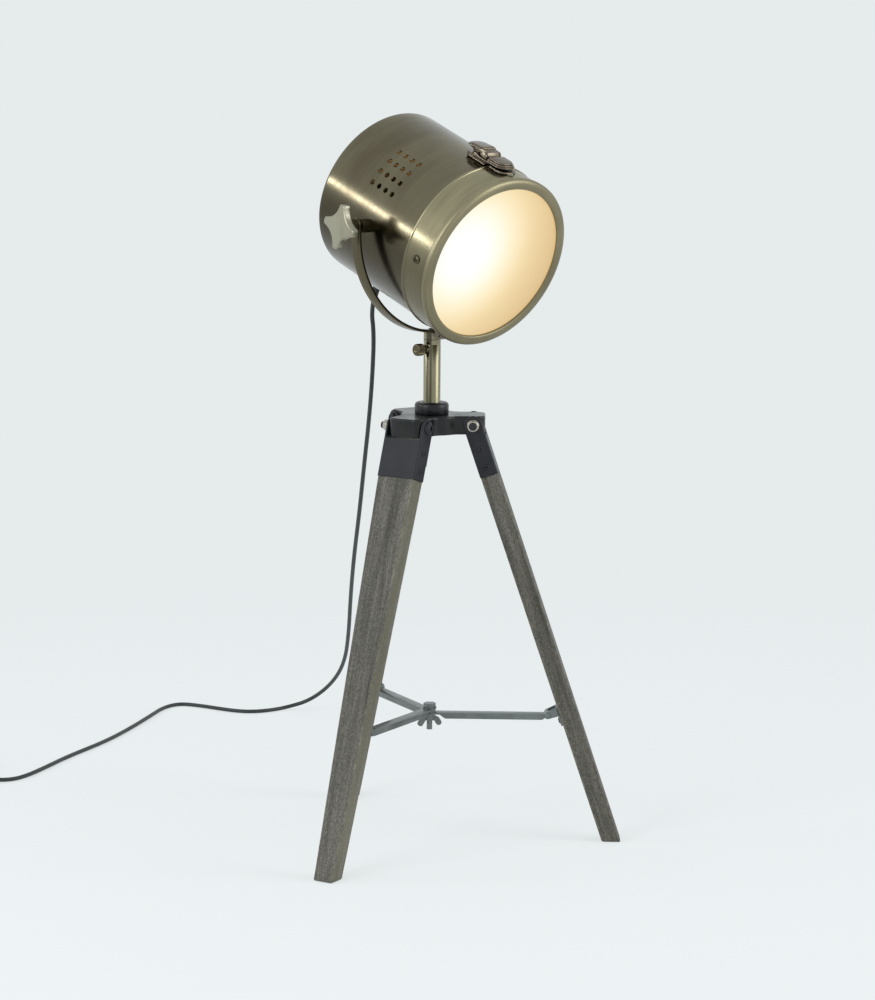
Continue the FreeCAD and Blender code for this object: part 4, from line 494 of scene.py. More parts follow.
def grain_group():
    """Open wood grain along Z: long streaks, short dark pores and slow bands of growth."""

    def draw(s, i):
        place = i["Place"]
        warp = s.noise(s.stretched(place, 22, 22, 5), 1.0, 2.0)
        bent = s.node("VectorMath", place, operation="ADD")
        aside, along = s.maths("MULTIPLY", warp, 0.006), s.maths("MULTIPLY", warp, 0.01)
        s.put(bent.inputs[1], s.node("CombineXYZ", aside, along, 0.0).outputs[0])
        bent = bent.outputs[0]
        streaks = s.noise(s.stretched(bent, 360, 360, 16), 1.0, 4.0, 0.65)
        pores = s.noise(s.stretched(bent, 1500, 1500, 420), 1.0, 2.0, 0.5)
        bands = s.noise(s.stretched(bent, 105, 105, 7), 1.0, 3.0, 0.55)
        holes = s.span(pores, 0.5, 0.6)
        fleck = s.noise(s.stretched(bent, 1900, 1900, 700), 1.0, 3.0, 0.7)
        tone = s.maths("ADD", s.maths("MULTIPLY", streaks, 0.25), s.maths("MULTIPLY", bands, 0.35))
        tone = s.maths("ADD", tone, s.maths("MULTIPLY", fleck, 0.4))
        return [tone, holes]

    return group(
        "open grain", [("Place", "Vector", None)], [("Tone", "Float"), ("Pores", "Float")], draw
    )


def skin_group():
    """The skin of paint and castings: orange-peel height and slow smudges."""

    def draw(s, i):
        peel = s.noise(i["Place"], i["Scale"], 3.0, 0.6)
        smudge = s.noise(i["Place"], 38.0, 4.0, 0.62)
        return [peel, s.span(smudge, 0.36, 0.68)]

    return group(
        "paint skin",
        [("Place", "Vector", None), ("Scale", "Float", 900.0)],
        [("Peel", "Float"), ("Smudge", "Float")],
        draw,
    )


def use(sketch, tree, **inputs):
    """The outputs of a shader group set into a material, in order."""
    made = sketch.tree.nodes.new("ShaderNodeGroup")
    made.node_tree = tree
    for key, value in inputs.items():
        sketch.put(made.inputs[key], value)
    return list(made.outputs)


def blank(name):
    """A material with one Principled shader, as its sketch, shader and object coordinates."""
    made = bpy.data.materials.new(name)
    made.use_nodes = True
    made.node_tree.nodes.clear()
    sketch = Sketch(made.node_tree)
    shader = sketch.node("BsdfPrincipled")
    leave = sketch.node("OutputMaterial")
    sketch.put(leave.inputs["Surface"], shader.outputs[0])
    place = sketch.node("TexCoord").outputs["Object"]
    return made, sketch, shader, place


def bumped(sketch, shader, height, distance, strength):
    """Gives the shader relief from a height of 0 to 1, as deep as the distance in metres."""
    made = sketch.node("Bump", Strength=strength, Distance=distance, Height=height)
    sketch.put(shader.inputs["Normal"], made.outputs[0])


def head_place(sketch, place):
    """Object coordinates turned into the drum's frame, with Y along the beam."""
    made = sketch.node("Mapping", vector_type="TEXTURE")
    sketch.put(made.inputs["Vector"], place)
    made.inputs["Location"].default_value = (0, 0, PIVOT * MM)
    made.inputs["Rotation"].default_value = (math.radians(DIP), 0, 0)
    return made.outputs[0]


def own_place(sketch, place):
    """Object coordinates as they are."""
    return place


def pole_place(sketch, place):
    """Lengthwise lines on the pole: Y runs round it, as the angle times its radius."""
    radius = bpy.context.scene.searchlight_yoke.pole_radius
    x, y, z = sketch.node("SeparateXYZ", place).outputs
    around = sketch.maths("MULTIPLY", sketch.maths("ARCTAN2", y, x), radius)
    return sketch.node("CombineXYZ", z, around, 0.0).outputs[0]


# Aged brass: the colour down in a scratch; the heights in the drum's frame, in metres, between
# which a painted shade darkens its sides; and the cosines, of the angle from a streak's bearing, at
# which a painted shade streak begins and is full.
SCRATCH = (0.02, 0.017, 0.012)
SHOULDER, UNDER_SHOULDER = 0.044, 0.004
STREAK_BEGINS, STREAK_FULL = 0.9, 0.985


def brass_finish(name, light, dark, place_of, roughness, painted_side_shading=0.0, bump=0.3, streaks=()):
    """Aged brass: brushed lines in roughness and height, browner stains, a painted shade that darkens
    the sides below the drum's shoulders by the share given, and painted shade streaks down a pole
    at the given bearings."""
    made, s, shader, place = blank(name)
    local = place_of(s, place)
    lines, stain = use(s, brushing_group(), Place=local)
    tone = s.mix(s.maths("MULTIPLY", stain, 0.7), rgba(light), rgba(dark))
    tone = s.mix(s.span(lines, 0.3, 0.7, 0.0, 0.22), tone, rgba(SCRATCH))
    # Painted shade: below the drum's shoulders the sides are darkened towards a dark brass, standing in for
    # shade and dark reflections.
    if painted_side_shading:
        height = s.node("SeparateXYZ", local).outputs["Z"]
        cloud = s.maths("MULTIPLY", s.noise(local, 26.0, 3.0), 0.03)
        low = s.span(s.maths("ADD", height, cloud), SHOULDER, UNDER_SHOULDER)
        tone = s.mix(s.maths("MULTIPLY", low, painted_side_shading), tone, rgba([c * 0.22 for c in dark]))
    # Painted shade: dark streaks down the pole at fixed bearings stand in for its shaded sides.
    for bearing in streaks:
        toward = (math.cos(math.radians(bearing)), math.sin(math.radians(bearing)), 0)
        way = s.node("VectorMath", s.stretched(place, 1, 1, 0), operation="NORMALIZE").outputs[0]
        near = s.node("VectorMath", way, toward, operation="DOT_PRODUCT").outputs["Value"]
        share = s.span(near, STREAK_BEGINS, STREAK_FULL, 0.0, 0.85)
        tone = s.mix(share, tone, rgba([c * 0.2 for c in dark]))
    s.put(shader.inputs["Base Color"], tone)
    shader.inputs["Metallic"].default_value = 1.0
    rough = s.span(lines, 0.3, 0.7, roughness - 0.03, roughness + 0.05)
    s.put(shader.inputs["Roughness"], s.maths("ADD", rough, s.maths("MULTIPLY", stain, 0.03)))
    bumped(s, shader, lines, 0.00002, bump)
    return made


def painted_finish(name, tint, roughness, scale, height, metallic=0.0, coat=0.0, shine=0.5):
    """Paint or plating on metal: its peel in height, and smudges in colour and roughness."""
    made, s, shader, place = blank(name)
    peel, smudge = use(s, skin_group(), Place=place, Scale=scale)
    pale = [min(1.0, c * 1.35 + 0.006) for c in tint]
    s.put(shader.inputs["Base Color"], s.mix(smudge, rgba(tint), rgba(pale)))
    rough = s.span(smudge, 0, 1, roughness - 0.04, roughness + 0.08)
    s.put(shader.inputs["Roughness"], s.maths("ADD", rough, s.maths("MULTIPLY", peel, 0.05)))
    shader.inputs["Metallic"].default_value = metallic
    shader.inputs["Specular IOR Level"].default_value = shine
    shader.inputs["Coat Weight"].default_value = coat
    shader.inputs["Coat Roughness"].default_value = 0.12
    bumped(s, shader, peel, height, 0.8)
    return made


def wood_finish(name, light, dark):
    """Dark open-grained wood: streaks and pores down the board, a painted light that gives its narrow
    sides a lighter olive tint, and paler wear along its edges."""
    made, s, shader, _ = blank(name)
    board = s.node("Attribute", attribute_name="board").outputs["Vector"]
    edge = s.node("Attribute", attribute_name="edge").outputs["Fac"]
    tone, pores = use(s, grain_group(), Place=board)
    base = s.mix(s.span(tone, 0.38, 0.62), rgba(dark), rgba(light))
    base = s.mix(s.maths("MULTIPLY", pores, 0.55), base, rgba([c * 0.42 for c in dark]))
    # Painted light: the board's narrow sides are tinted a lighter olive, by a share that differs from leg to
    # leg.
    painted_side_shading = s.node("Attribute", attribute_name="painted_side_shading").outputs["Fac"]
    red, green, blue = light
    painted_light_olive = s.mix(0.5, base, rgba([red * 1.15, green * 1.15, blue * 0.9]))
    base = s.mix(s.maths("MULTIPLY", painted_side_shading, 0.8), base, painted_light_olive)
    wear = s.maths("MULTIPLY", edge, s.span(s.noise(board, 110.0, 4.0), 0.45, 0.66, 0.0, 0.6))
    bare = rgba([red * 1.35 + 0.01, green * 1.4 + 0.012, blue * 1.2 + 0.004])
    s.put(shader.inputs["Base Color"], s.mix(wear, base, bare))
    s.put(shader.inputs["Roughness"], s.span(tone, 0.3, 0.7, 0.72, 0.56))
    height = s.maths("SUBTRACT", s.maths("MULTIPLY", tone, 0.6), s.maths("MULTIPLY", pores, 0.5))
    bumped(s, shader, height, 0.00028, 0.7)
    return made


# The pane's painted glow, as shares of GLOW_REACH metres from its brightest spot, which is fixed in the
# drum's frame.
GLOW_SPOT, GLOW_REACH = (-0.036, -0.084, 0.010), 0.11
GLOW_STOPS = [
    (0.0, (1.0, 1.0, 1.0)), (0.22, (1.0, 1.0, 0.98)), (0.44, (0.96, 0.85, 0.55)), (0.66, (0.82, 0.61, 0.29)),
    (1.0, (0.62, 0.41, 0.16)),
]


def glass_finish(name):
    """Frosted pane with a painted glow standing in for the bulb shining through it: white beside its middle,
    then cream, and tan towards the rim.
    """
    made, s, shader, place = blank(name)
    spot = s.node("VectorMath", head_place(s, place), operation="SUBTRACT")
    spot.inputs[1].default_value = GLOW_SPOT
    flat = s.stretched(spot.outputs[0], 1.0, 0.0, 1.0)
    away = s.node("VectorMath", flat, operation="LENGTH").outputs["Value"]
    frost = s.noise(place, 1400.0, 2.0)
    warm = s.node("ValToRGB", s.span(away, 0.0, GLOW_REACH, smooth=False))
    ramp = warm.color_ramp
    ramp.interpolation = "B_SPLINE"
    for number, (share, tint) in enumerate(GLOW_STOPS):
        stop = ramp.elements[number] if number < 2 else ramp.elements.new(share)
        stop.position = share
        stop.color = rgba(tint)
    shader.inputs["Base Color"].default_value = rgba([0.12, 0.11, 0.1])
    s.put(shader.inputs["Roughness"], s.span(frost, 0.3, 0.7, 0.42, 0.6))
    s.put(shader.inputs["Emission Color"], warm.outputs[0])
    shader.inputs["Emission Strength"].default_value = 0.95
    bumped(s, shader, frost, 0.00004, 0.6)
    return made


def opal_finish(name, glow, strength):
    """Opal glass lit from inside, a little whiter in its thin places."""
    made, s, shader, place = blank(name)
    cloud = s.noise(place, 70.0, 3.0)
    shader.inputs["Base Color"].default_value = rgba([0.9, 0.88, 0.84])
    s.put(shader.inputs["Roughness"], s.span(cloud, 0.3, 0.7, 0.3, 0.42))
    lit = s.mix(s.span(cloud, 0.3, 0.7), rgba(glow), rgba([1.0, 0.97, 0.9]))
    s.put(shader.inputs["Emission Color"], lit)
    shader.inputs["Emission Strength"].default_value = strength
    return made


# The finishes by name, once they are made.
FINISHES = {}
# Bearings of the painted shade streaks down the pole, in degrees.
POLE_SHADE_STREAKS = (-154, 20, 110)


def finishes():
    """Every finish, made once from the scene's colours."""
    if FINISHES:
        return FINISHES
    c = bpy.context.scene.searchlight_finishes
    FINISHES.update(
        antique_brass=brass_finish(
            "brushed brass", c.brass, c.brass_dark, head_place, 0.17, painted_side_shading=0.62, bump=0.6
        ),
        band_brass=brass_finish(
            "band brass", c.bezel_brass, c.brass, head_place, 0.2, painted_side_shading=0.6, bump=0.5
        ),
        bezel_brass=brass_finish("satin brass", c.bezel_brass, c.brass, head_place, 0.4, painted_side_shading=0.35),
        pole_brass=brass_finish(
            "drawn brass", c.pole_brass, c.brass, pole_place, 0.24, bump=0.12, streaks=POLE_SHADE_STREAKS
        ),
        yoke_brass=brass_finish("strip brass", c.yoke_brass, c.brass_dark, own_place, 0.24, bump=0.2),
        knob_brass=brass_finish("knob brass", c.knob_brass, c.brass, own_place, 0.34),
        black_iron=painted_finish("cast iron paint", c.iron, 0.28, 520.0, 0.00008, coat=0.15, shine=0.3),
        black_steel=painted_finish("slate paint", c.sleeve, 0.4, 1300.0, 0.00004, shine=0.2),
        grey_steel=painted_finish("gunmetal paint", c.brace, 0.3, 1100.0, 0.00003, metallic=0.6, coat=0.1),
        lacquer=painted_finish("lacquered brass inside", c.lacquer, 0.5, 700.0, 0.00003),
        nickel=painted_finish("nickel plating", c.nickel, 0.22, 700.0, 0.00002, metallic=1.0),
        dark_bronze=painted_finish("bronze plating", c.bronze, 0.22, 600.0, 0.00003, metallic=1.0),
        black_plastic=painted_finish("black moulding", c.moulding, 0.38, 1500.0, 0.00003),
        cord=painted_finish("cord sheath", c.sheath, 0.42, 1800.0, 0.00004),
        wood=wood_finish("dark open-grained wood", c.wood, c.wood_dark),
        frosted_glass=glass_finish("frosted glass"),
        bulb_glass=opal_finish("opal bulb", c.glow, 2.4),
    )
    return FINISHES


# --- the drum and its door --------------------------------------------------------------------

# Vents: degrees from row to row, degrees from the drum's top to the middle of a cheek's rows, and
# the rows' middle behind the tilt axis.
VENT_STEP, VENT_MIDDLE, VENTS_BEHIND = 8.85, 50.3, 2.0
# Cells of the drum's sheet: ahead of the vents and behind them, over a cheek's vents either way,
# over the top between the cheeks, and below between them.
AHEAD_CELLS, CHEEK_CELLS, TOP_CELLS, BELOW_CELLS = 12, 16, 26, 84
VENT_ROWS, VENT_RINGS, VENT_SIDES = 4, 5, 16


def even(start, end, count):
    """Evenly spaced numbers from the start up to the end, which is left out."""
    return np.linspace(start, end, count, endpoint=False)


def on_drum(radius, beam, angle):
    """Places (R sin a, y, R cos a) about the beam, with the bearing a counted from the top."""
    return np.stack([radius * np.sin(angle), beam, radius * np.cos(angle)], -1)


def drum_rows(s):
    """The sheet's rows from its front edge to the middle of its back: each one's place along the
    beam, its radius, and the lean of its normal, over the wall, a quarter circle and the flat."""
    radius, corner, pitch = s.drum_radius / MM, s.drum_corner / MM, s.vent_pitch / MM
    rear, front, lip_seat = s.drum_rear / MM, -s.drum_front / MM, 0.45
    first, last = VENTS_BEHIND - 2 * pitch, VENTS_BEHIND + 2 * pitch
    wall = np.concatenate([
        even(front + lip_seat, first, AHEAD_CELLS), even(first, last, CHEEK_CELLS),
        even(last, rear - corner, AHEAD_CELLS), [rear - corner],
    ])
    bend = np.radians(np.linspace(0, 90, 9))[1:]
    flat = np.linspace(radius - corner, 0, 14)[1:]
    beam = np.concatenate([wall, rear - corner + corner * np.sin(bend), np.full(len(flat), rear)])
    radii = np.concatenate([np.full(len(wall), radius), radius - corner + corner * np.cos(bend), flat])
    lean = np.concatenate([np.zeros(len(wall)), bend, np.full(len(flat), np.pi / 2)])
    return beam, radii, lean


def vent_cells(s):
    """Bearings and beam places of the vents' cells. Each runs from a circle to the square around
    it: (1 - k) circle + k square."""
    radius, pitch, hole = s.drum_radius / MM, s.vent_pitch / MM, s.vent_radius / MM
    ones, rising, falling = np.ones(4), even(-1, 1, 4), even(1, -1, 4)
    side = np.concatenate([
        np.column_stack(pair) for pair in ((ones, rising), (falling, ones), (-ones, falling), (rising, -ones))
    ])
    half = np.array([math.radians(VENT_STEP / 2) * radius, pitch / 2])
    way = side * half
    ring = way / np.linalg.norm(way, axis=1, keepdims=True) * hole / half
    shares = np.array([0.0, 0.08, 0.4, 0.7, 1.0])[:, None, None]
    cell = ring * (1 - shares) + side * shares
    spots = np.arange(VENT_ROWS) - (VENT_ROWS - 1) / 2
    bearings = np.concatenate([middle + spots * VENT_STEP for middle in (VENT_MIDDLE, 360 - VENT_MIDDLE)])
    centre_a, centre_y = np.meshgrid(np.radians(bearings), VENTS_BEHIND + spots * pitch, indexing="ij")
    angle = centre_a[..., None, None] + cell[..., 0] * math.radians(VENT_STEP / 2)
    return angle, centre_y[..., None, None] + cell[..., 1] * pitch / 2


def drum_wall(s):
    """The drum's sheet, (R sin a, y, R cos a) over its rows, with the vents' cells in place of its
    own, and an inner side drawn in along the normals. Also says how many faces the outside has."""
    radius, wall = s.drum_radius / MM, s.drum_wall / MM
    low, high = VENT_MIDDLE - 2 * VENT_STEP, VENT_MIDDLE + 2 * VENT_STEP
    angles = np.radians(np.concatenate([
        even(-low, low, TOP_CELLS), even(low, high, CHEEK_CELLS),
        even(high, 360 - high, BELOW_CELLS), even(360 - high, 360 - low, CHEEK_CELLS),
    ]))
    beam, radii, lean = drum_rows(s)
    size = (len(beam), len(angles))
    points = on_drum(radii[:, None], np.broadcast_to(beam[:, None], size), angles)
    normal = on_drum(np.cos(lean)[:, None], np.broadcast_to(np.sin(lean)[:, None], size), angles)

    faces = grid(*size, wrap_columns=True)
    row, column = np.divmod(np.arange(len(faces)), len(angles))
    right_start, right_end = TOP_CELLS, TOP_CELLS + CHEEK_CELLS
    on_cheek = (column >= right_start) & (column < right_end) | (column >= right_end + BELOW_CELLS)
    faces = faces[~(on_cheek & (row >= AHEAD_CELLS) & (row < AHEAD_CELLS + CHEEK_CELLS))]

    vent_a, vent_y = vent_cells(s)
    vents = on_drum(radius, vent_y, vent_a).reshape(-1, 3)
    vent_normal = on_drum(1.0, np.zeros_like(vent_a), vent_a).reshape(-1, 3)
    one = grid(VENT_RINGS, VENT_SIDES, wrap_columns=True)[:, ::-1]
    per_vent = VENT_RINGS * VENT_SIDES
    many = (one[None] + np.arange(0, len(vents), per_vent)[:, None, None]).reshape(-1, 4)

    every = np.concatenate([points.reshape(-1, 3), vents])
    inner = every - np.concatenate([normal.reshape(-1, 3), vent_normal]) * wall
    first, index = merged(every)
    made = trimmed(index[np.concatenate([faces, many + size[0] * size[1]])])
    return *thickened(every[first], made, inner[first]), len(made)


def about_beam(shell):
    """A shell turned about Z made to turn about the beam: its +Z becomes the drum's +Y."""
    points, faces = shell
    return np.stack([points[:, 0], points[:, 2], -points[:, 1]], -1), faces


def make_drum(s):
    """Spun drum with vented cheeks, and the lip that locates the door."""
    f = finishes()
    points, faces, outside = drum_wall(s)
    inner, outer, seat, nose = 73.1, 74.3, -51.2, -59
    lip = softened([(inner, seat, 0.3), (inner, nose, 0.4), (outer, nose, 0.4), (outer, seat, 0.3)])
    whole = together((points, faces), about_beam(lathe(lip, 160, loop=True)))
    piece(
        "drum_shell", placed(whole, in_head), f["antique_brass"], "head", ["drum"],
        inside=(f["lacquer"], outside, 2 * outside),
    )


def band_section(s):
    """The door band: a rolled bead at the back, a straight wall, and a flange turned in ahead."""
    out, bead = s.band_radius / MM, s.bead / MM
    wall, back, front, flange = 1.2, -53.4, -81, 69.5
    return softened([
        (out - wall, back, 0.2), (out + bead, back, 0.9), (out + bead, back - 2.1, 0.9),
        (out, back - 2.5, 0.2), (out, front, 0.5),
        (flange, front, 0.3), (flange, front + wall, 0.3), (out - wall, front + wall, 0.3),
    ])


def bezel_section(s):
    """The bezel: from the rim to the opening its radius falls by ((1 - cos pi t) / 2)^0.92 of their
    distance, while its front bulges by sin(pi t)^0.6 and leans ahead, over a pocket for the pane."""
    out, front, opening = s.bezel_radius / MM, s.bezel_front / MM, s.glass_opening / MM
    pocket, back, face, bulge, lean = 72.3, -81.1, -84.2, 3.1, 1.2
    t = np.linspace(0, 1, 18)
    crown = np.column_stack([
        out - (out - opening) * (0.5 - 0.5 * np.cos(np.pi * t)) ** 0.92,
        -(front - bulge + bulge * np.sin(np.pi * t) ** 0.6 + lean * t),
    ])
    return np.concatenate([
        [(pocket, back), (out - 0.5, back), (out - 0.12, back - 0.15), (out, back - 0.5)], crown,
        [(opening, face - 0.15), (opening + 0.15, face), (pocket, face)],
    ])


def pane_section():
    """The pane: flat on both sides, with its rim's edges taken off."""
    rim, back, front, bevel = 72, -81.15, -84.1, 0.4
    rings = (0, 30, 60, rim - bevel)
    behind, ahead = [(r, back) for r in rings], [(r, front) for r in rings[::-1]]
    return [*behind, (rim, back - 0.35), (rim, front + bevel), *ahead]


def make_door(s):
    """Door: the band with its rolled bead, the rounded bezel, the pane and two side screws."""
    f = finishes()
    band = about_beam(lathe(band_section(s), 160, loop=True))
    piece("door_sleeve", placed(band, in_head), f["band_brass"], "door", ["door_band"])
    bezel = about_beam(lathe(bezel_section(s), 192, loop=True))
    piece("bezel_ring", placed(bezel, in_head), f["bezel_brass"], "door", ["bezel"])
    pane = about_beam(lathe(pane_section(), 128))
    piece("frosted_pane", placed(pane, in_head), f["frosted_glass"], "door", ["lens"])
    side, ahead = s.band_radius / MM + 0.02, -69
    screws = [
        placed(crossed_screw(4.0, 2.0), turned, pitch=90 * way, at=(way * side, ahead, 0)) for way in (-1, 1)
    ]
    piece(
        "door_screw_heads", placed(together(*screws), in_head), f["antique_brass"], "door",
        ["door_screws"], crease=40,
    )


def crossed_screw(radius, tall, turns=56):
    """A pan head with a cross recess: height h (1 - 3/4 (r/R)^5), less a depth where |x| or |y| is
    inside the cross's arm, eased over a fifth of a millimetre."""
    share = np.concatenate([[0.0], np.linspace(0.08, 0.62, 12), [0.7, 0.8, 0.88, 0.94, 0.98, 1.0]])
    t = np.linspace(0, 2 * np.pi, turns, endpoint=False)
    r = share[:, None] * radius
    x, y = np.abs(r * np.cos(t)), np.abs(r * np.sin(t))
    arm, reach = radius * 0.13, radius * 0.56

    def within(a, b):
        return np.clip((arm - a) / 0.18 + 0.5, 0, 1) * np.clip((reach - b) / 0.22 + 0.5, 0, 1)

    cut = np.maximum(within(x, y), within(y, x))
    h = tall * (1 - share[:, None] ** 5 * 0.75) - cut * tall * 0.75 * (1 - 0.5 * r / reach).clip(0.2)
    radii = [*np.broadcast_to(r, (len(share), turns)), radius, radius * 0.9, 0.0]
    heights = [*h, 0.0, -0.1, -0.1]
    return polar(radii, heights, turns)


# --- the catch --------------------------------------------------------------------------------

# Where the lever turns on the base and the link on the lever: (beam, height) in the drum's frame.
LEVER_AXLE, LINK_AXLE = (-46, 81), (-38, 79.5)


def across(outline, wide, soft=0.5):
    """A plate cut to an outline of (beam, height) pairs, as thick as wide across the beam."""
    half = wide / 2
    points, faces = slab(outline, [
        (soft, -half), (soft * 0.3, -half + soft * 0.3), (0, -half + soft),
        (0, half - soft), (soft * 0.3, half - soft * 0.3), (soft, half),
    ])
    return outward(on_side(points), faces)


def rod(radius, x0, x1, y, z, turns=28):
    """A round bar along X with softened ends."""
    edge = radius * 0.3
    points, faces = lathe([
        (0, x0), (radius - edge, x0), (radius, x0 + edge), (radius, x1 - edge), (radius - edge, x1), (0, x1),
    ], turns)
    return outward(on_side(points) + [0, y, z], faces)


def tongue(half, back, nose, round_back, round_nose, low, high, soft, steps=9):
    """A plate seen from above as a rectangle with rounded ends, and a quarter-round upper edge."""
    ring = softened([
        (-half, back, round_back), (half, back, round_back),
        (half, nose, round_nose), (-half, nose, round_nose),
    ], steps)
    bend = np.radians([0, 22, 45, 68, 90])
    upper = [(soft * (1 - math.cos(b)), high - soft + soft * math.sin(b)) for b in bend]
    return slab(ring, [(0.25, low), (0, low + 0.25), *upper])


def eye(axle, radius, start, end, steps):
    """The round end of an arm: points on an arc about its axle."""
    t = np.linspace(start, end, steps)
    return zip(axle[0] + radius * np.cos(t), axle[1] + radius * np.sin(t))


def catch_base():
    """The base plate, its two cheeks, a double rail along each side, and the lever's pin."""
    cheek = [(-50.3, 76.3), *eye(LEVER_AXLE, 4.4, np.pi, 0, 17), (-41.4, 76.3)]
    shells = [tongue(9, -50.4, -24, 1.0, 6.0, 75.1, 76.6, 0.5)]
    rail_end, rail_long, edge = -26.2, 15, 8.9
    for way in (-1, 1):
        shells.append(placed(across(cheek, 1.4, 0.35), turned, at=(8.25 * way, 0, 0)))
        for height, size in ((77.0, 0.75), (78.3, 0.55)):
            rail = lathe([
                (0, 0), (size * 0.7, 0), (size, size * 0.3), (size, rail_long - 0.4), (size * 0.7, rail_long),
                (0, rail_long),
            ], 20)
            shells.append(placed(rail, turned, roll=90, at=(way * (edge - size), rail_end, height)))
    shells.append(rod(1.5, -9, 9, *LEVER_AXLE))
    return together(*shells)


def catch_lever():
    """The lever's humped web, its finger plate and the raised panel, which both rise by a tenth of
    their length, the link's pins and the rolled edge."""
    hump = [
        (-23.5, 83.6), (-24, 84.9), (-39, 86.6), (-45, 86.5), (-48.2, 85.4), (-49.6, 83.2), (-49.9, 80.5),
        (-48.6, 78.6), (-46, 77.2), (-36, 77.2), (-30, 82.2),
    ]
    plates = [
        tongue(9.0, -41.2, -21.7, 2.0, 6.5, -1.2, 0.2, 0.6),
        tongue(7.3, -40.4, -23.4, 1.5, 5.2, 0.1, 0.95, 0.6),
    ]
    rising = [(points + (86.6 - (points[:, 1:2] + 39) * 0.1) * [0, 0, 1], faces) for points, faces in plates]
    pins = [rod(1.25, -10.8, -8.0, *LINK_AXLE), rod(1.25, 8.0, 10.8, *LINK_AXLE)]
    return together(across(hump, 14.2, 0.7), *rising, *pins, rod(0.8, -7.0, 7.0, -42.4, 86.7))


def catch_link():
    """The link's two arms and its round-nosed plate in three steps."""
    shank = [(-44, 80.4), (-55, 80.4), (-55, 78.7), (-44, 78.7)]
    arm = [*eye(LINK_AXLE, 2.5, -np.pi / 2, np.pi / 2, 13), *shank]
    arms = [placed(across(arm, 1.4, 0.4), turned, at=(10.0 * way, 0, 0)) for way in (-1, 1)]
    return together(
        *arms,
        tongue(10.7, -52.6, -71.4, 1.0, 8.5, 79.75, 81.0, 0.6),
        tongue(9.9, -52.8, -70.3, 0.8, 7.8, 80.9, 82.5, 0.8),
        tongue(8.6, -53.2, -68.8, 0.6, 6.4, 82.4, 83.9, 0.7),
    )


def catch_keeper():
    """The keeper's plate on the door band, and the hook that holds the link."""
    hook = [(-62.8, 77.6), (-64.6, 77.6), (-64.6, 79.2), (-63.6, 79.5), (-62.6, 79.2)]
    return together(tongue(10.2, -57.0, -74.2, 1.0, 7.6, 76.15, 78.2, 0.8), across(hook, 10, 0.2))


def make_catch():
    """Toggle catch: the base, the lever, the link, the keeper and its pointed tab."""
    f = finishes()
    for name, shell, body, node in (
        ("catch_base", catch_base(), "head", "latch_base"),
        ("catch_lever", catch_lever(), "lever", "latch_lever"),
        ("catch_link", catch_link(), "link", "latch_link"),
        ("catch_keeper", catch_keeper(), "door", "latch_catch"),
    ):
        piece(name, placed(shell, in_head), f["dark_bronze"], body, [node])
    pointed = [(-3.4, -73.0), (3.4, -73.0), (1.8, -76.2), (0, -77.8), (-1.8, -76.2)]
    tab = slab(pointed, [(0, 76.1), (0, 77.1), (0.6, 77.7)])
    piece("catch_tab", placed(tab, in_head), f["knob_brass"], "door")


# --- yoke, knobs and pole ---------------------------------------------------------------------

# How far the star's face stands from the lamp's middle and how far its points are turned, in
# degrees; and the thumb screw's height.
KNOB_FACE, KNOB_TURN = 107.5, 95
THUMB_HEIGHT = 439


def make_yoke(s):
    """Flat strip on a half circle: stations run down one arm, round the arc and up the other, and
    the section's width follows the ear's own circle at both ends."""
    f = finishes()
    middle = (s.yoke_inner + s.yoke_wall / 2) / MM
    half, thick = s.yoke_wide / MM / 2, s.yoke_wall / MM / 2
    ear, drop, arm_steps, arc_steps = 6.5, s.yoke_drop / MM, 12, 121
    fall = (ear + drop) * (1 - np.cos(np.linspace(0, np.pi / 2, arm_steps)))
    arm = np.column_stack([np.full(arm_steps, -middle), np.zeros(arm_steps), ear - fall])[:-1]
    arc = np.radians(np.linspace(180, 360, arc_steps))
    flat = np.zeros(arc_steps)
    bend = np.column_stack([middle * np.cos(arc), flat, middle * np.sin(arc) - drop])
    path = np.concatenate([arm, bend, arm[::-1] * [-1, 1, 1]])
    out = np.concatenate([
        np.tile([-1.0, 0, 0], (len(arm), 1)), np.column_stack([np.cos(arc), flat, np.sin(arc)]),
        np.tile([1.0, 0, 0], (len(arm), 1)),
    ])
    deep = np.clip(ear - path[:, 2], 0, half)
    wide = np.sqrt(np.maximum(half**2 - (half - deep) ** 2, 0)) + 0.01
    ring = softened([(-half, -thick, 0.55), (half, -thick, 0.55), (half, thick, 0.55), (-half, thick, 0.55)])
    sections = ring[None] * np.stack([wide / half, np.ones_like(wide)], -1)[:, None]
    strip = carried(sections, path, np.tile([0.0, 1, 0], (len(path), 1)), out)
    strip = placed(strip, turned, at=(0, 0, PIVOT))
    piece("yoke_strip", strip, f["yoke_brass"], "yoke", ["yoke"], crease=50)


def star(tip, turn):
    """A four-pointed outline: blunt points, and sides hollowed by the sine of their share."""
    points = []
    blunt = np.radians([-9.5, -8.0, -4, 0, 4, 8.0, 9.5])
    shoulder, hollow = 0.955, 3.5
    point = tip * np.array([shoulder, 0.985, 0.999, 1, 0.999, 0.985, shoulder])
    for quarter in range(4):
        aim = math.radians(90 * quarter + turn)
        points.append(np.column_stack([point * np.cos(aim + blunt), point * np.sin(aim + blunt)]))
        following = aim + math.pi / 2 - blunt[-1]
        a, b = points[-1][-1], tip * shoulder * np.array([math.cos(following), math.sin(following)])
        share = np.linspace(0, 1, 14)[1:-1, None]
        inward = -(a + b) / np.linalg.norm(a + b)
        points.append(a + (b - a) * share + inward * hollow * np.sin(np.pi * share) ** 0.9)
    return np.concatenate(points)


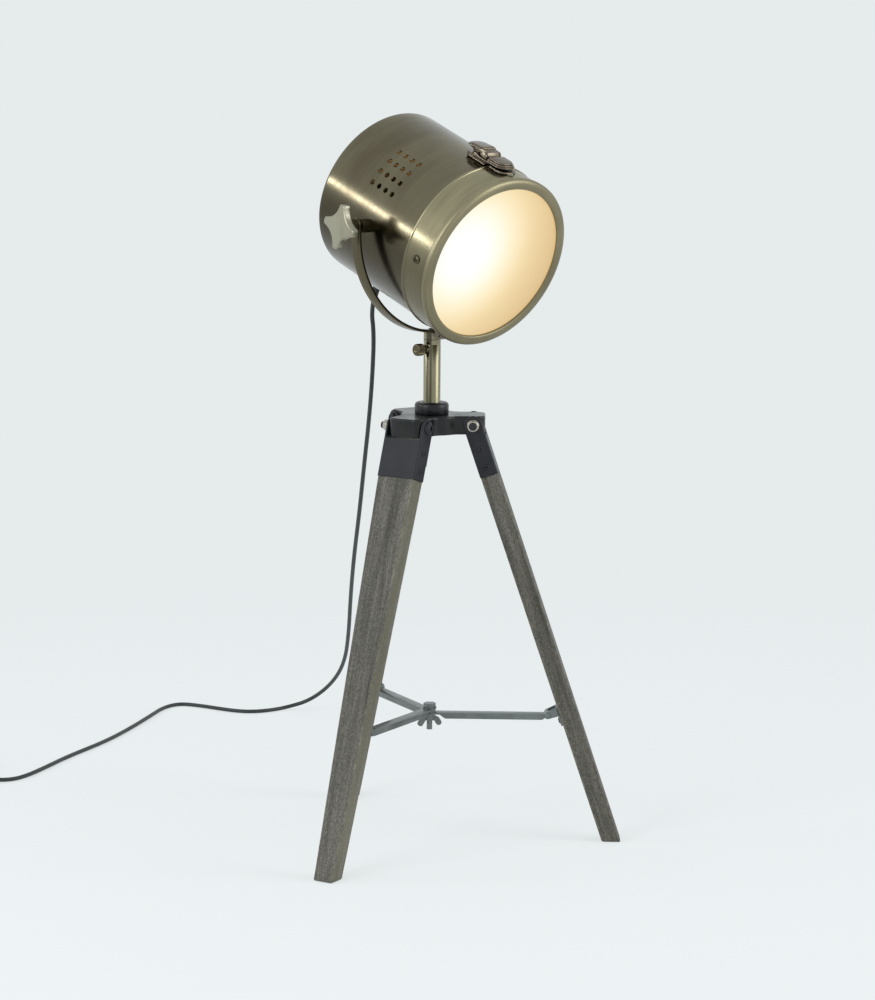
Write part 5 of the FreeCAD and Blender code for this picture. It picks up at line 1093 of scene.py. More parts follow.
def make_knobs(s):
    """Star knobs: a flat plate with bevelled rims, on a coned boss."""
    f = finishes()
    tip, plate = s.knob_tip / MM, s.knob_plate / MM
    for side, way in (("right", 1), ("left", -1)):
        bevel = [(0.9, -plate), (0, -plate + 0.9), (0, -0.9), (0.22, -0.4), (0.9, 0)]
        boss = [(0, -13.6), (3.3, -13.6), (3.9, -13.2), (4.3, -9.5), (6.6, -6.6), (7.6, -5.6), (0, -5.6)]
        points, faces = together(slab(star(tip, KNOB_TURN), bevel), lathe(boss, 48))
        points = on_side(points) + [KNOB_FACE, 0, 0]
        points = turned(points, roll=DIP) if way > 0 else turned(turned(points, roll=-DIP), yaw=180)
        piece(
            "knob_%s_star" % side, (points + [0, 0, PIVOT], faces), f["knob_brass"], "clamp_" + side,
            ["knob_" + side], crease=28,
        )


def make_pole(s):
    """Pole tube with its tapped boss, the black collar, and the thumb screw, whose head is knurled by
    0.8 (1 + cos 18 t) / 2."""
    f = finishes()
    r = s.pole_radius / MM
    bottom, top, groove = 368, 447.5, 442.9
    tube_section = [
        (r - 1.5, bottom), (r - 0.5, bottom), (r, bottom + 0.5), (r, groove - 0.4), (r - 0.25, groove),
        (r - 0.25, groove + 0.5), (r, groove + 0.9), (r, top - 0.4), (r - 0.4, top), (r - 1.5, top),
    ]
    boss = lathe([(0, 0), (4.3, 0), (4.0, 1.6), (4.0, 3.2), (3.6, 3.6), (2.1, 3.6), (2.1, 0.4), (0, 0.4)], 40)
    boss = placed(boss, turned, pitch=-90, at=(-r + 1.6, 0, THUMB_HEIGHT))
    whole = together(lathe(tube_section, 64, loop=True), boss)
    piece("pole_tube", whole, f["pole_brass"], "base", ["pole"])

    c, low, high = s.collar_radius / MM, 382, 392.5
    collar = lathe([
        (r + 0.05, low), (c - 1.0, low), (c - 0.3, low + 0.3), (c, low + 1),
        (c, high - 3.2), (c - 0.35, high - 1.7), (c - 1.3, high - 0.5), (c - 2.6, high),
        (r + 1.4, high), (r + 0.5, high - 0.3), (r + 0.05, high - 0.9),
    ], 96, loop=True)
    piece("pole_collar", collar, f["black_iron"], "base", ["collar"])

    big, turns = s.thumb_radius / MM, 144
    knurl = 0.8 * (0.5 + 0.5 * np.cos(18 * np.linspace(0, 2 * np.pi, turns, endpoint=False)))
    shank = [(0, -3.4), (1.9, -3.4), (2.0, -3.0), (2.0, 1.9), (3.0, 2.1), (3.0, 4.0)]
    grip = [
        (big - 0.9, 4.0), (big - 0.35 - 0.3 * knurl, 4.25), (big - knurl, 4.8), (big - knurl, 10.6),
        (big - 0.35 - 0.3 * knurl, 11.2), (big - 0.9, 11.5), (big - 1.5, 11.5),
    ]
    dimple = [(2.6, 11.5), (2.2, 11.15), (0, 11.1)]
    screw = polar(*zip(*shank, *grip, *dimple), turns)
    screw = placed(screw, turned, pitch=-90, at=(-r, 0, THUMB_HEIGHT))
    piece(
        "thumb_screw_knurled", screw, f["yoke_brass"], "thumb", ["thumb_screw"], crease=40,
    )


# --- tripod -----------------------------------------------------------------------------------

# In a leg's frame: how far the sleeve's side plates stand out from the middle, and how far below
# the hinge they end and have their screws. Then the thickness of the braces' sheet.
SLEEVE_FACE, SLEEVE_END = 19.1, 46
SCREW_DROPS = (22, 38.5)
BRACE_SHEET = 1.5
# The first board's seed for its wear, and how far each board's grain lies from the one before.
WEAR_SEED, GRAIN_APART = 7, (0.31, 0.17, 0.43)


def hexagon(flats, turns):
    """Radii of a hexagon at equal angles: (f/2) / cos(t mod 60), with flats f apart."""
    t = np.linspace(0, 2 * np.pi, turns, endpoint=False)
    return flats / 2 / np.cos((t + np.pi / 6) % (np.pi / 3) - np.pi / 6)


def hex_nut(flats, tall, bore, turns=72):
    """A nut: the hexagon's radius, held under a cone near both faces."""
    edge = hexagon(flats, turns)
    chamfer = [np.minimum(edge, flats / 2 * k) for k in (0.985, 1.03, 1.09)]
    radii = [bore, bore + 0.5, flats / 2 * 0.95, *chamfer, edge]
    rises = [0.5, 0, 0, 0.03, 0.25, 0.55, 0.85]
    heights = [*rises, *(tall - rise for rise in rises[::-1])]
    return polar([*radii, *radii[::-1]], heights, turns, loop=True)


def hex_socket(radius, tall, turns=48):
    """A round button head with a hexagon socket."""
    socket = hexagon(radius * 0.72, turns)
    recess = [(0, 0.45), (socket * 0.98, 0.45), (socket, 0.93), (socket + 0.25, 1)]
    button = [(radius * across_share, share) for across_share, share in (
        (0.66, 0.93), (0.85, 0.72), (0.96, 0.42), (1, 0.12), (1, 0), (0, 0),
    )]
    radii, shares = zip(*recess, *button)
    return polar(radii, [tall * share for share in shares], turns)


def washer(inner, outer, tall):
    """A flat ring whose outer edges are taken off."""
    edge = 0.25
    return lathe([
        (inner, 0), (outer - edge, 0), (outer, edge),
        (outer, tall - edge), (outer - edge, tall), (inner, tall),
    ], 56, loop=True)


def threaded(radius, start, end, pitch=1.0, turns=40):
    """A thread's crests as rings: radius less a triangle wave of the height."""
    h = np.arange(start, end, pitch / 4)
    wave = np.abs((h / pitch) % 1 - 0.5) * 0.7
    radii = [0, radius - 0.6, *(radius - wave), radius - 0.7, 0]
    return polar(radii, [start - 0.01, start, *h, end + 0.2, end + 0.2], turns)


def board_rings(front, back, side, edge):
    """Rounded rectangles, one for each station of a board: a quarter circle about each corner, with
    the faces and the sides at their distances from the middle line."""
    phi = np.radians(np.arange(0, 360, 90)[:, None] + np.linspace(0, 90, 6))
    sx = np.array([1, -1, -1, 1])[:, None] * np.ones((1, 6))
    sy = np.array([1, 1, -1, -1])[:, None] * np.ones((1, 6))
    reach = np.where(sx > 0, front[:, None, None], back[:, None, None])
    x = sx * (reach - edge) + edge * np.cos(phi)
    y = sy * (side[:, None, None] - edge) + edge * np.sin(phi)
    return np.stack([x, y], -1).reshape(len(front), -1, 2)


def worn(rings, held, seed):
    """Rings drawn in by a random walk down each of a board's lines, at most 0.16 mm deep, and not
    where the sleeve holds the board."""
    rng = np.random.default_rng(seed)
    wave = np.cumsum(rng.normal(0, 0.02, rings.shape[:2]), axis=0)
    wave -= wave.mean(axis=0)
    wave[held] = 0
    away = rings / np.linalg.norm(rings, axis=2, keepdims=True)
    return rings - away * np.clip(np.abs(wave), 0, 0.16)[..., None]


def make_legs(s):
    """Boards: a rounded rectangle carried down the leg, tapering in width, with its last stations
    sheared by x tan(splay) so that the foot lies level. The board's grain has its own place on each
    leg, and its narrow sides their own share of the painted light's lighter olive tint."""
    f = finishes()
    foot, start = HINGE_HEIGHT / math.cos(math.radians(SPLAY)), 14
    held_front, held_side = 6.0, 17.0
    edge, thick = s.leg_edge / MM, s.leg_thick / MM / 2
    top, low = s.leg_top / MM / 2, s.leg_foot / MM / 2
    along = np.concatenate([
        [start, SLEEVE_END - 0.1, SLEEVE_END, SLEEVE_END + 0.25, SLEEVE_END + 0.9],
        np.linspace(50, foot - 14, 64), foot - np.array([9, 4, 1.2, 0.35, 0]),
    ])
    held = along < SLEEVE_END - 0.05
    at_sleeve, at_foot = along - SLEEVE_END, foot - along
    inset = np.select(
        [held, at_sleeve < 0.1, at_sleeve < 0.5, at_foot < 0.2, at_foot < 0.6], [0.0, 0.9, 0.3, 0.9, 0.3], 0.0
    )
    width = top + (low - top) * (along - start) / (foot - start)
    rings = board_rings(
        np.where(held, held_front, thick - inset), np.where(held, thick, thick - inset),
        np.where(held, held_side, width - inset), edge,
    )
    stations, corners = rings.shape[:2]
    level = np.clip((along - (foot - 16)) / 15, 0, 1)
    on_edge = np.broadcast_to(np.array([0, 0.6, 1, 1, 0.6, 0] * 4), (stations, corners)).ravel()
    # Painted light: each leg's share of the lighter olive tint on its board's narrow sides, most on leg a.
    for number, (leg, painted_light_olive) in enumerate((("a", 1.0), ("b", 0.1), ("c", 0.5))):
        shape = worn(rings, held, WEAR_SEED + number)
        z = -along[:, None] - shape[..., 0] * math.tan(math.radians(SPLAY)) * level[:, None]
        points = np.concatenate([shape, z[..., None]], -1).reshape(-1, 3)
        shell = outward(points, stack(stations, corners))
        rising = np.linspace(0, 1, 6) * painted_light_olive
        painted_side_shading = np.broadcast_to(np.concatenate([rising, rising[::-1]] * 2), (stations, corners)).ravel()
        board = shell[0] * MM + number * np.array(GRAIN_APART)
        piece(
            "board_" + leg, placed(shell, on_leg, leg), f["wood"], "leg_" + leg, ["leg_" + leg],
            crease=40, fields={"board": board, "edge": on_edge, "painted_side_shading": painted_side_shading},
        )
        make_leg_screws(s, leg)


def make_leg_screws(s, leg):
    """Black screws in both side plates of the sleeve, and one in the brace's bracket."""
    f = finishes()
    screw = crossed_screw(s.screw_radius / MM, 1.2, 40)
    bracket_face, below_pin = -9.95, 9
    heads = []
    for drop in SCREW_DROPS:
        for way in (-1, 1):
            slotted = placed(screw, turned, yaw=17 * drop * way)
            heads.append(placed(slotted, turned, roll=-90 * way, at=(0, way * SLEEVE_FACE, -drop)))
    _, pin_height = brace_pin(leg)
    heads.append(placed(screw, turned, pitch=-90, at=(bracket_face, 0, pin_height - below_pin)))
    piece(
        "screw_heads_" + leg, placed(together(*heads), on_leg, leg), f["black_steel"], "leg_" + leg,
        ["leg_screws_" + leg], crease=40,
    )


def brace_pin(leg):
    """Where the brace's pin stands in the leg's frame, behind the board's middle line and below the
    hinge: its place out from the hinge and down from it, turned by the splay."""
    out, down = BRACE_PIN - HINGE_RADIUS, BRACE_TOPS[leg] - BRACE_SHEET / 2 - HINGE_HEIGHT
    cos, sin = math.cos(math.radians(SPLAY)), math.sin(math.radians(SPLAY))
    return out * cos + down * sin, -out * sin + down * cos


def make_braces(s):
    """Pressed channels of the spread brace. Each section is an upturned U whose depth runs
    d(x) = sheet + (depth - sheet) min(1, rise at either end), so its ends are flat tongues."""
    f = finishes()
    half, depth, sheet = s.brace_wide / MM / 2, s.brace_depth / MM, BRACE_SHEET
    swell, last = 9, BRACE_PIN - 1
    round_end = -half * np.cos(np.radians(np.linspace(0, 90, 10)))
    x = np.concatenate([round_end, np.linspace(3, swell - 1, 3), np.linspace(swell, last, 60)])
    wide = np.where(x < 0, np.sqrt(np.maximum(half**2 - x**2, 0)), half).clip(0.15)
    rise = np.clip((x - swell) / 5, 0, 1) * np.clip((last + 0.5 - x) / 4, 0.3, 1)
    deep = np.where(x < swell, sheet + 0.03, sheet + 0.03 + (depth - sheet) * rise)
    corner, inner = np.minimum(0.9, wide * 0.6), np.maximum(wide - sheet, 0.05)
    under, level = np.full(len(x), -sheet), np.zeros(len(x))
    right = [
        (wide - corner, level), (wide - corner * 0.3, -corner * 0.3), (wide, -corner), (wide, -deep),
        (inner, -deep), (inner, under),
    ]
    ring = right + [(-y, z) for y, z in right[::-1]]
    sections = np.stack([np.stack(pair, -1) for pair in ring], 1)
    sideways, upward = (np.tile(way, (len(x), 1)) for way in ([0.0, 1, 0], [0.0, 0, 1]))
    channel = carried(sections, np.column_stack([x, level, level]), sideways, upward)
    barrel = lathe([
        (0, -half), (2.75, -half), (3.05, -half + 0.3), (3.05, half - 0.3), (2.75, half), (0, half),
    ], 32)
    brace = together(channel, placed(barrel, turned, roll=90, at=(BRACE_PIN, 0, -sheet / 2)))
    for leg, top in BRACE_TOPS.items():
        piece(
            "brace_channel_" + leg, placed(brace, turned, yaw=LEG_AZIMUTHS[leg], at=(0, 0, top)),
            f["grey_steel"], "brace_" + leg, ["brace_" + leg], crease=35,
        )
        make_bracket(leg, half)


def make_bracket(leg, half):
    """A folded bracket on the board's inner face: its plate, two slim ears and the pin."""
    f = finishes()
    x, z = brace_pin(leg)
    board, top, bottom, gap, wide = 8.1, z + 4.6, z - 13, half + 0.35, half + 1.95
    ear = [(-board, z - 3.6), (-board, top), *eye((x, z), 3.2, np.pi / 2, np.pi * 1.5, 17)]
    points, faces = slab(ear, [(0.2, 0), (0, 0.2), (0, 1.3), (0.3, 1.6)])
    upright = np.stack([points[:, 0], points[:, 2] + gap, points[:, 1]], -1)
    ears = [outward(upright * [1, way, 1], faces) for way in (1, -1)]
    sheet = softened([(-wide, bottom, 1.5), (wide, bottom, 1.5), (wide, top, 1.0), (-wide, top, 1.0)])
    points, faces = slab(sheet, [(0, board - 0.04), (0, 9.5), (0.3, 9.8)])
    plate = outward(on_side(points) * [-1, 1, 1], faces)
    pin_half = [(1.4, wide), (2.7, wide), (2.7, wide + 0.6), (2.2, wide + 1), (0, wide + 1)]
    pin = lathe([*((r, -y) for r, y in pin_half[::-1]), *pin_half], 32)
    whole = together(*ears, plate, placed(pin, turned, roll=90, at=(x, 0, z)))
    piece(
        "bracket_" + leg, placed(whole, on_leg, leg), f["grey_steel"], "leg_" + leg,
        ["brace_bracket_" + leg], crease=35,
    )


def on_bolt(shell, azimuth, roll, side):
    """A shell that stands on Z laid along a leg's hinge bolt, its foot that far from the middle."""
    cos, sin = math.cos(math.radians(azimuth)), math.sin(math.radians(azimuth))
    middle = np.array([HINGE_RADIUS * cos, HINGE_RADIUS * sin, HINGE_HEIGHT])
    laid = turned(shell[0], roll=roll)
    return turned(laid, yaw=azimuth, at=middle + np.array([-sin, cos, 0]) * side), shell[1]


def make_hub():
    """The hinge bolts' black heads on one side of each arm, and plated nuts on the other."""
    f = finishes()
    seat, washer_tall = SLEEVE_FACE + 0.02, 1.2
    head, thread = hex_socket(5.7, 2.9), threaded(3.0, -40, 8.6)
    ring, nut = washer(3.1, 5.2, washer_tall), hex_nut(8.6, 4.8, 3.05)
    bolts, nuts = [], []
    for azimuth in LEG_AZIMUTHS.values():
        bolts += [on_bolt(head, azimuth, -90, seat), on_bolt(thread, azimuth, 90, -seat)]
        nuts += [on_bolt(ring, azimuth, 90, -seat), on_bolt(nut, azimuth, 90, -seat - washer_tall - 0.03)]
    piece("hinge_bolts", together(*bolts), f["black_steel"], "base", ["hub_bolts"], crease=40)
    piece("hinge_nuts", together(*nuts), f["nickel"], "base", ["hub_nuts"], crease=30)


# --- the cord ---------------------------------------------------------------------------------

# The supply cord's route: out of the gland, down in a free hang, and over the floor to the switch.
CORD_ROUTE = [
    (0, 0.07556, 0.48471), (0, 0.08201, 0.4679), (0.008, 0.087, 0.445), (0.0205, 0.1035, 0.405),
    (0.037, 0.127, 0.362), (0.059, 0.1595, 0.3135), (0.0875, 0.1995, 0.2605), (0.1195, 0.245, 0.208),
    (0.156, 0.293, 0.156), (0.194, 0.3405, 0.106), (0.222, 0.38, 0.0655), (0.2365, 0.418, 0.0345),
    (0.239, 0.457, 0.0095), (0.219, 0.4735, 0.002), (0.202, 0.474, 0.002), (0.189, 0.477, 0.002),
    (0.1775, 0.4835, 0.002), (0.1685, 0.496, 0.002), (0.1615, 0.517, 0.002), (0.155, 0.54, 0.002),
    (0.144, 0.561, 0.002), (0.119, 0.5565, 0.002), (0.0845, 0.533, 0.002), (0.0305, 0.4985, 0.002),
    (-0.017, 0.472, 0.002), (-0.08, 0.4455, 0.002), (-0.122, 0.4235, 0.002), (-0.152, 0.409, 0.002),
    (-0.1715, 0.4045, 0.002), (-0.1875, 0.4105, 0.0026), (-0.2004, 0.4199, 0.007), (-0.21151, 0.42991, 0.007),
]
# Where the stretch hanging from the drum ends, and the free hang; the cord's thickness; and a
# height above the hub, whose nearest point on the cord is found but not used.
DRUM_STRETCH_END = (0.048, 0.14325, 0.33775)
HANG_STRETCH_END = (0.229, 0.46525, 0.00575)
CORD_DIAMETER = 0.004
ABOVE_HUB = 0.375
# The put-away coil, in the switch's frame: its middle, the radii of its wide and narrow turns, the
# height of its lower layer, and its number of turns.
COIL_MIDDLE, COIL_WIDE, COIL_NARROW, COIL_LOW, COIL_TURNS = (52, -25), 25, 21, 2.7, 3.5


def spline_line(points):
    """The line of one NURBS spline through its control points, read back as an array."""
    curve = bpy.data.curves.new("route", "CURVE")
    curve.dimensions = "3D"
    curve.resolution_u = 10
    spline = curve.splines.new("NURBS")
    spline.points.add(len(points) - 1)
    spline.points.foreach_set("co", [v for p in points for v in (*p, 1.0)])
    spline.order_u = 3
    spline.use_endpoint_u = True
    carrier = bpy.data.objects.new("route", curve)
    mesh = bpy.data.meshes.new_from_object(carrier)
    line = np.array([v.co for v in mesh.vertices])
    bpy.data.meshes.remove(mesh)
    bpy.data.objects.remove(carrier)
    bpy.data.curves.remove(curve)
    gap = np.linalg.norm(np.diff(line, axis=0), axis=1)
    return line[np.concatenate([[True], gap > 1e-5])]


def nearest(line, point):
    """The number of the line's point that lies nearest to a place."""
    return int(np.linalg.norm(line - np.array(point), axis=1).argmin())


def tube(name, line, body, replaces):
    """A round tube along a line: at each point a circle across the way, whose first spoke is
    carried on from the circle before by taking out its part along the way."""
    way = np.gradient(line, axis=0)
    way /= np.linalg.norm(way, axis=1, keepdims=True)
    spoke = np.cross(way[0], [0.3, 0.2, 0.93])
    spokes = []
    for direction in way:
        spoke = spoke - direction * (spoke @ direction)
        spoke /= np.linalg.norm(spoke)
        spokes.append(spoke)
    spokes = np.array(spokes)
    t = np.linspace(0, 2 * np.pi, 16, endpoint=False)
    ring = np.stack([np.cos(t), np.sin(t)], -1) * CORD_DIAMETER / 2
    shell = carried(ring / MM, line / MM, spokes, np.cross(way, spokes))
    return piece(name, shell, finishes()["cord"], body, replaces, crease=60)


def coil_route():
    """The put-away stretch: out of the switch, round the coil, which narrows and widens again and
    climbs to a second layer, and into the plug."""
    turns = np.linspace(0, COIL_TURNS, 57)
    layer = np.clip((turns - 1.9) / 0.35, 0, 1)
    inward, outward_again = np.clip((turns - 0.75) / 0.4, 0, 1), np.clip((turns - 2.75) / 0.4, 0, 1)
    step = COIL_WIDE - COIL_NARROW
    wide = COIL_WIDE - step * inward + step * outward_again
    angle = np.pi / 2 - 2 * np.pi * turns
    x, y = COIL_MIDDLE
    coil = np.column_stack([x + wide * np.cos(angle), y + wide * np.sin(angle), COIL_LOW + 4.0 * layer])
    lead = [(23, 0, 7), (31, 0, 6.8), (40, 0, 4.2)]
    tail = [(43, -50, 6.9), (33, -50, 7), (25, -50, 7), (16, -50, 7)]
    return spline_line((at_switch(np.array([*lead, *coil, *tail])) * MM).tolist())


def make_cord():
    """The supply cord in four stretches: the one from the drum and the free hang, both left on no
    body, the stretch still on the floor, and the put-away coil with its plug."""
    line = spline_line(CORD_ROUTE)
    first, second = nearest(line, DRUM_STRETCH_END), nearest(line, HANG_STRETCH_END)
    top, drop, floor, wound = line[: first + 1], line[first : second + 1], line[second:], coil_route()

    at_drum = tube("cord_at_drum", top, None, ["cord_top"])
    above_hub = int(np.abs(top[:, 2] - ABOVE_HUB).argmin())
    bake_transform(at_drum)
    hanging = tube("cord_hanging", drop, None, ["cord_drop"])
    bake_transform(hanging)
    on_floor = tube("cord_on_floor", floor, "base", ["cord_floor"])
    coiled = tube("cord_coiled", wound, "base", ["cord_lead", "cord_coil", "cord_tail"])


# --- construction pieces shown as they are ----------------------------------------------------

# Pieces whose finish isn't the plain one of their slot.
OWN_FINISH = {
    "cord_gland": "black_plastic", "yoke_stem": "pole_brass",
    "stud_left": "yoke_brass", "stud_right": "yoke_brass", "pivot_bushes": "yoke_brass",
    "hinge_leaf_fixed": "dark_bronze", "hinge_leaf_door": "dark_bronze",
}


def finish_nodes():
    """Each construction piece that is shown as it is takes the finish of its slot, or its own."""
    f = finishes()
    slots = {row["node"]: row["material_slot"] for row in frame["record"]["subparts"]}
    for name, node in frame["nodes"].items():
        if not node.hide_render:
            node.data.materials.clear()
            node.data.materials.append(f[OWN_FINISH.get(name, slots[name])])


# --- stage ------------------------------------------------------------------------------------

# The floor's half width and its drop below the feet; how far from the pole shadows fade out, and
# the share of the backdrop's light and of its paint that it keeps where they fall.
FLOOR_REACH, FLOOR_DROP = 30, 0.0004
SHADOWS_FULL, SHADOWS_GONE = 0.5, 1.6
NEAR_GLOW, NEAR_PAINT = 0.715, 0.5
# The camera looks from its place at its target, rolled by a trifle in radians. Its lens comes from
# the focal length and the width of the render in pixels, on a sensor so many millimetres wide.
CAMERA_PLACE, CAMERA_TARGET = (-1.715, -1.913, 0.7125), (0.0042, -0.0038, 0.30535)
CAMERA_ROLL = 0.0076
CAMERA_SENSOR, FOCAL_PIXELS, RENDER_PIXELS = 36, 2957.4, 875
LAMP_MIDDLE = (0, 0, 0.35)
LAMPS = {
    "left_strip": {"size": (0.8, 0.13), "energy": 4.4, "place": (-1.54, 1.18, 1.0), "target": (0, 0, 0.55)},
    "left_key": {"size": (1.3, 1.6), "energy": 18, "place": (-2.4, -0.1, 1.3), "target": LAMP_MIDDLE},
    "right_fill": {"size": (1.6, 1.6), "energy": 26, "place": (1.5, -2.3, 1.2), "target": LAMP_MIDDLE},
}


def panel(name, size, energy, place, target):
    """A soft rectangular lamp that faces the target."""
    light = bpy.data.lights.new(name, "AREA")
    light.shape = "RECTANGLE"
    light.size, light.size_y = size
    light.energy = energy
    made = bpy.data.objects.new(name, light)
    bpy.context.scene.collection.objects.link(made)
    made.location = place
    made.rotation_euler = (Vector(target) - Vector(place)).to_track_quat("-Z", "Y").to_euler()


def seen(sketch):
    """One where the camera sees a place straight, through glass or in a reflection, else nought."""
    path = sketch.node("LightPath")
    direct = sketch.maths("MAXIMUM", path.outputs["Is Camera Ray"], path.outputs["Is Transmission Ray"])
    return sketch.maths("MAXIMUM", direct, path.outputs["Is Glossy Ray"])


def make_floor(pale):
    """The floor: seen, it glows at the backdrop's colour far out and takes shadows near the lamp;
    to the light it is a plain pale surface."""
    mesh = bpy.data.meshes.new("floor")
    r = FLOOR_REACH
    mesh.from_pydata([(-r, -r, 0), (r, -r, 0), (r, r, 0), (-r, r, 0)], [], [(0, 1, 2, 3)])
    floor = bpy.data.objects.new("floor", mesh)
    floor.location.z = -FLOOR_DROP
    bpy.context.scene.collection.objects.link(floor)
    made = bpy.data.materials.new("pale floor")
    made.use_nodes = True
    made.node_tree.nodes.clear()
    s = Sketch(made.node_tree)
    reach = s.node("VectorMath", s.node("TexCoord").outputs["Object"], operation="LENGTH").outputs["Value"]
    near = s.span(reach, SHADOWS_FULL, SHADOWS_GONE, 1.0, 0.0)
    shade = s.node("BsdfDiffuse", Color=s.mix(near, rgba((0, 0, 0)), rgba([c * NEAR_PAINT for c in pale])))
    strength = s.span(near, 0.0, 1.0, 1.0, NEAR_GLOW, smooth=False)
    glow = s.node("Emission", Color=rgba(pale), Strength=strength)
    lit = s.node("AddShader", shade.outputs[0], glow.outputs[0])
    plain = s.node("BsdfDiffuse", Color=rgba([0.7, 0.7, 0.69]))
    choice = s.node("MixShader", seen(s), plain.outputs[0], lit.outputs[0])
    s.put(s.node("OutputMaterial").inputs["Surface"], choice.outputs[0])
    mesh.materials.append(made)


def make_world(pale):
    """The world: seen, it has the backdrop's colour; as light it is soft and weak."""
    world = bpy.data.worlds.new("studio")
    bpy.context.scene.world = world
    world.use_nodes = True
    world.node_tree.nodes.clear()
    s = Sketch(world.node_tree)
    soft = s.node("Background", Color=rgba([0.97, 0.98, 1.0]), Strength=0.45)
    wall = s.node("Background", Color=rgba(pale), Strength=1.0)
    choice = s.node("MixShader", seen(s), soft.outputs[0], wall.outputs[0])
    s.put(s.node("OutputWorld").inputs["Surface"], choice.outputs[0])


def make_camera():
    """The camera, aimed at its target and rolled by a trifle."""
    scene = bpy.context.scene
    camera = bpy.data.objects.new("camera", bpy.data.cameras.new("camera"))
    scene.collection.objects.link(camera)
    camera.data.sensor_fit = "HORIZONTAL"
    camera.data.sensor_width = CAMERA_SENSOR
    camera.data.lens = CAMERA_SENSOR * FOCAL_PIXELS / RENDER_PIXELS
    camera.data.clip_end = 100
    place, target = Vector(CAMERA_PLACE), Vector(CAMERA_TARGET)
    away = (place - target).normalized()
    level = Vector((0, 0, 1)).cross(away).normalized()
    right = level * math.cos(CAMERA_ROLL) + away.cross(level) * math.sin(CAMERA_ROLL)
    rows = Matrix((right, away.cross(right), away))
    camera.matrix_world = Matrix.Translation(place) @ rows.transposed().to_4x4()
    scene.camera = camera


def make_stage():
    """Pale floor, a pale world, soft lamps and the camera."""
    scene = bpy.context.scene
    scene.view_settings.view_transform = "Standard"
    pale = tuple(scene.searchlight_finishes.backdrop)
    make_floor(pale)
    make_world(pale)
    for name, settings in LAMPS.items():
        panel(name, **settings)
    make_camera()


# --- operators and panel ------------------------------------------------------------------------


class SEARCHLIGHT_OT_stage(bpy.types.Operator):
    """Adds the pale floor, the soft lamps, the world and the camera"""

    bl_idname = "searchlight.stage"
    bl_label = "Stage and camera"
    bl_options = {"REGISTER", "UNDO"}

    def execute(self, context):
        make_stage()
        return {"FINISHED"}


class SEARCHLIGHT_OT_cord(bpy.types.Operator):
    """Lays the supply cord from the drum's gland to its plug"""

    bl_idname = "searchlight.cord"
    bl_label = "Supply cord"
    bl_options = {"REGISTER", "UNDO"}

    def execute(self, context):
        make_cord()
        return {"FINISHED"}


class SEARCHLIGHT_OT_drum(bpy.types.Operator):
    """Builds the vented drum"""

    bl_idname = "searchlight.drum"
    bl_label = "Drum"
    bl_options = {"REGISTER", "UNDO"}

    def execute(self, context):
        make_drum(context.scene.searchlight_head)
        return {"FINISHED"}


class SEARCHLIGHT_OT_door(bpy.types.Operator):
    """Builds the door band, the bezel, the frosted pane and the door's screws"""

    bl_idname = "searchlight.door"
    bl_label = "Glass door"
    bl_options = {"REGISTER", "UNDO"}

    def execute(self, context):
        make_door(context.scene.searchlight_head)
        return {"FINISHED"}


class SEARCHLIGHT_OT_catch(bpy.types.Operator):
    """Builds the toggle catch"""

    bl_idname = "searchlight.catch"
    bl_label = "Catch"
    bl_options = {"REGISTER", "UNDO"}

    def execute(self, context):
        make_catch()
        return {"FINISHED"}


class SEARCHLIGHT_OT_yoke(bpy.types.Operator):
    """Builds the yoke's strip"""

    bl_idname = "searchlight.yoke"
    bl_label = "Yoke"
    bl_options = {"REGISTER", "UNDO"}

    def execute(self, context):
        make_yoke(context.scene.searchlight_yoke)
        return {"FINISHED"}


class SEARCHLIGHT_OT_knobs(bpy.types.Operator):
    """Builds the two star knobs"""

    bl_idname = "searchlight.knobs"
    bl_label = "Star knobs"
    bl_options = {"REGISTER", "UNDO"}

    def execute(self, context):
        make_knobs(context.scene.searchlight_yoke)
        return {"FINISHED"}


class SEARCHLIGHT_OT_pole(bpy.types.Operator):
    """Builds the pole, its collar and its thumb screw"""

    bl_idname = "searchlight.pole"
    bl_label = "Pole and thumb screw"
    bl_options = {"REGISTER", "UNDO"}

    def execute(self, context):
        make_pole(context.scene.searchlight_yoke)
        return {"FINISHED"}


class SEARCHLIGHT_OT_legs(bpy.types.Operator):
    """Builds the three wooden legs and their screws"""

    bl_idname = "searchlight.legs"
    bl_label = "Wooden legs"
    bl_options = {"REGISTER", "UNDO"}

    def execute(self, context):
        make_legs(context.scene.searchlight_tripod)
        return {"FINISHED"}


class SEARCHLIGHT_OT_braces(bpy.types.Operator):
    """Builds the spread brace's three channels and their brackets"""

    bl_idname = "searchlight.braces"
    bl_label = "Spread brace"
    bl_options = {"REGISTER", "UNDO"}

    def execute(self, context):
        make_braces(context.scene.searchlight_tripod)
        return {"FINISHED"}


class SEARCHLIGHT_OT_hub(bpy.types.Operator):
    """Builds the hub's hinge bolts and nuts"""

    bl_idname = "searchlight.hub"
    bl_label = "Hub fastenings"
    bl_options = {"REGISTER", "UNDO"}

    def execute(self, context):
        make_hub()
        return {"FINISHED"}


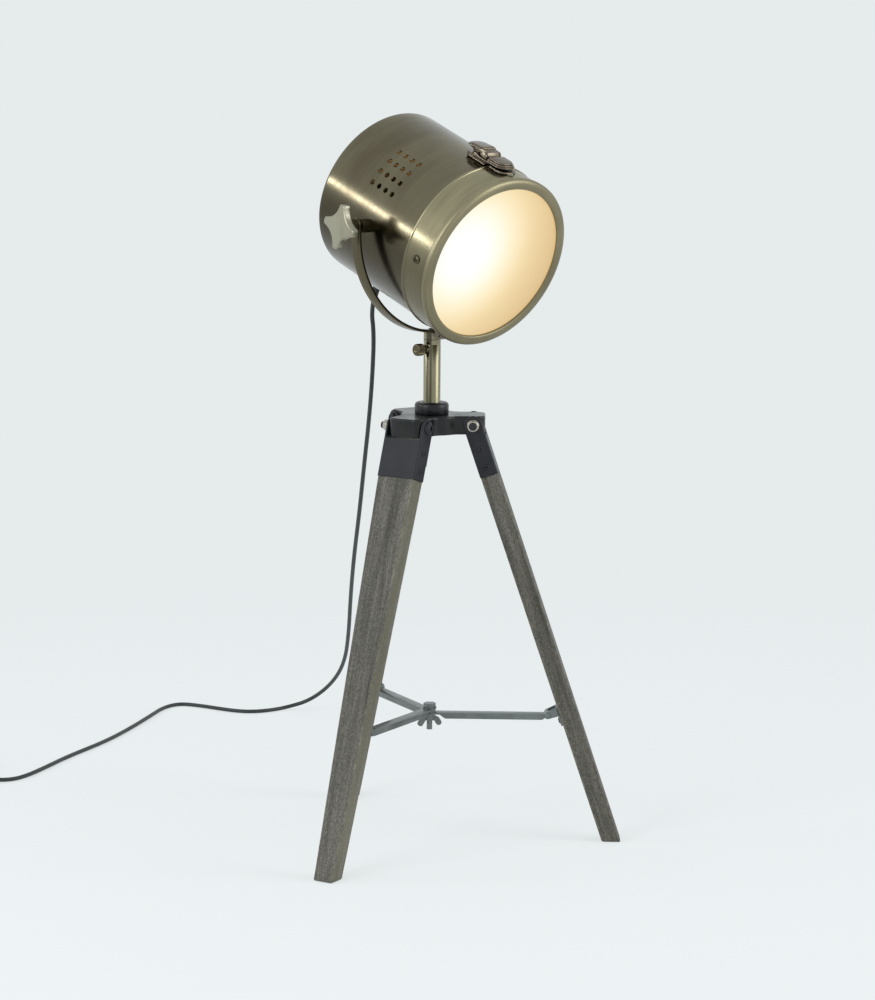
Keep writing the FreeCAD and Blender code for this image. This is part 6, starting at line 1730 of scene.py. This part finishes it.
class SEARCHLIGHT_OT_finishes(bpy.types.Operator):
    """Gives the remaining construction pieces their finishes"""

    bl_idname = "searchlight.finishes"
    bl_label = "Remaining finishes"
    bl_options = {"REGISTER", "UNDO"}

    def execute(self, context):
        finish_nodes()
        return {"FINISHED"}


STEPS = [
    SEARCHLIGHT_OT_stage, SEARCHLIGHT_OT_cord, SEARCHLIGHT_OT_drum, SEARCHLIGHT_OT_door,
    SEARCHLIGHT_OT_catch, SEARCHLIGHT_OT_yoke, SEARCHLIGHT_OT_knobs, SEARCHLIGHT_OT_pole,
    SEARCHLIGHT_OT_legs, SEARCHLIGHT_OT_braces, SEARCHLIGHT_OT_hub, SEARCHLIGHT_OT_finishes,
]
GROUPS = {
    "searchlight_head": HeadSizes, "searchlight_yoke": YokeSizes,
    "searchlight_tripod": TripodSizes, "searchlight_finishes": Finishes,
}


class SEARCHLIGHT_PT_panel(bpy.types.Panel):
    """Lists the lamp's sizes, finishes and steps"""

    bl_idname = "SEARCHLIGHT_PT_panel"
    bl_label = "Searchlight"
    bl_space_type = "VIEW_3D"
    bl_region_type = "UI"
    bl_category = "Searchlight"

    def draw(self, context):
        for name in GROUPS:
            box = self.layout.box()
            settings = getattr(context.scene, name)
            for key in settings.__annotations__:
                box.prop(settings, key)
        for step in STEPS:
            self.layout.operator(step.bl_idname)


def register():
    """Registers the classes and hangs the groups of sizes on the scene."""
    for item in (*GROUPS.values(), *STEPS, SEARCHLIGHT_PT_panel):
        bpy.utils.register_class(item)
    for name, item in GROUPS.items():
        setattr(bpy.types.Scene, name, bpy.props.PointerProperty(type=item))


def unregister():
    """Takes away what register added, in the opposite order."""
    for name in GROUPS:
        delattr(bpy.types.Scene, name)
    for item in (SEARCHLIGHT_PT_panel, *STEPS[::-1], *GROUPS.values()):
        bpy.utils.unregister_class(item)


def main():
    """Builds everything in order."""
    register()
    for step in STEPS:
        family, name = step.bl_idname.split(".")
        getattr(getattr(bpy.ops, family), name)()


if __name__ == "__main__":
    main()
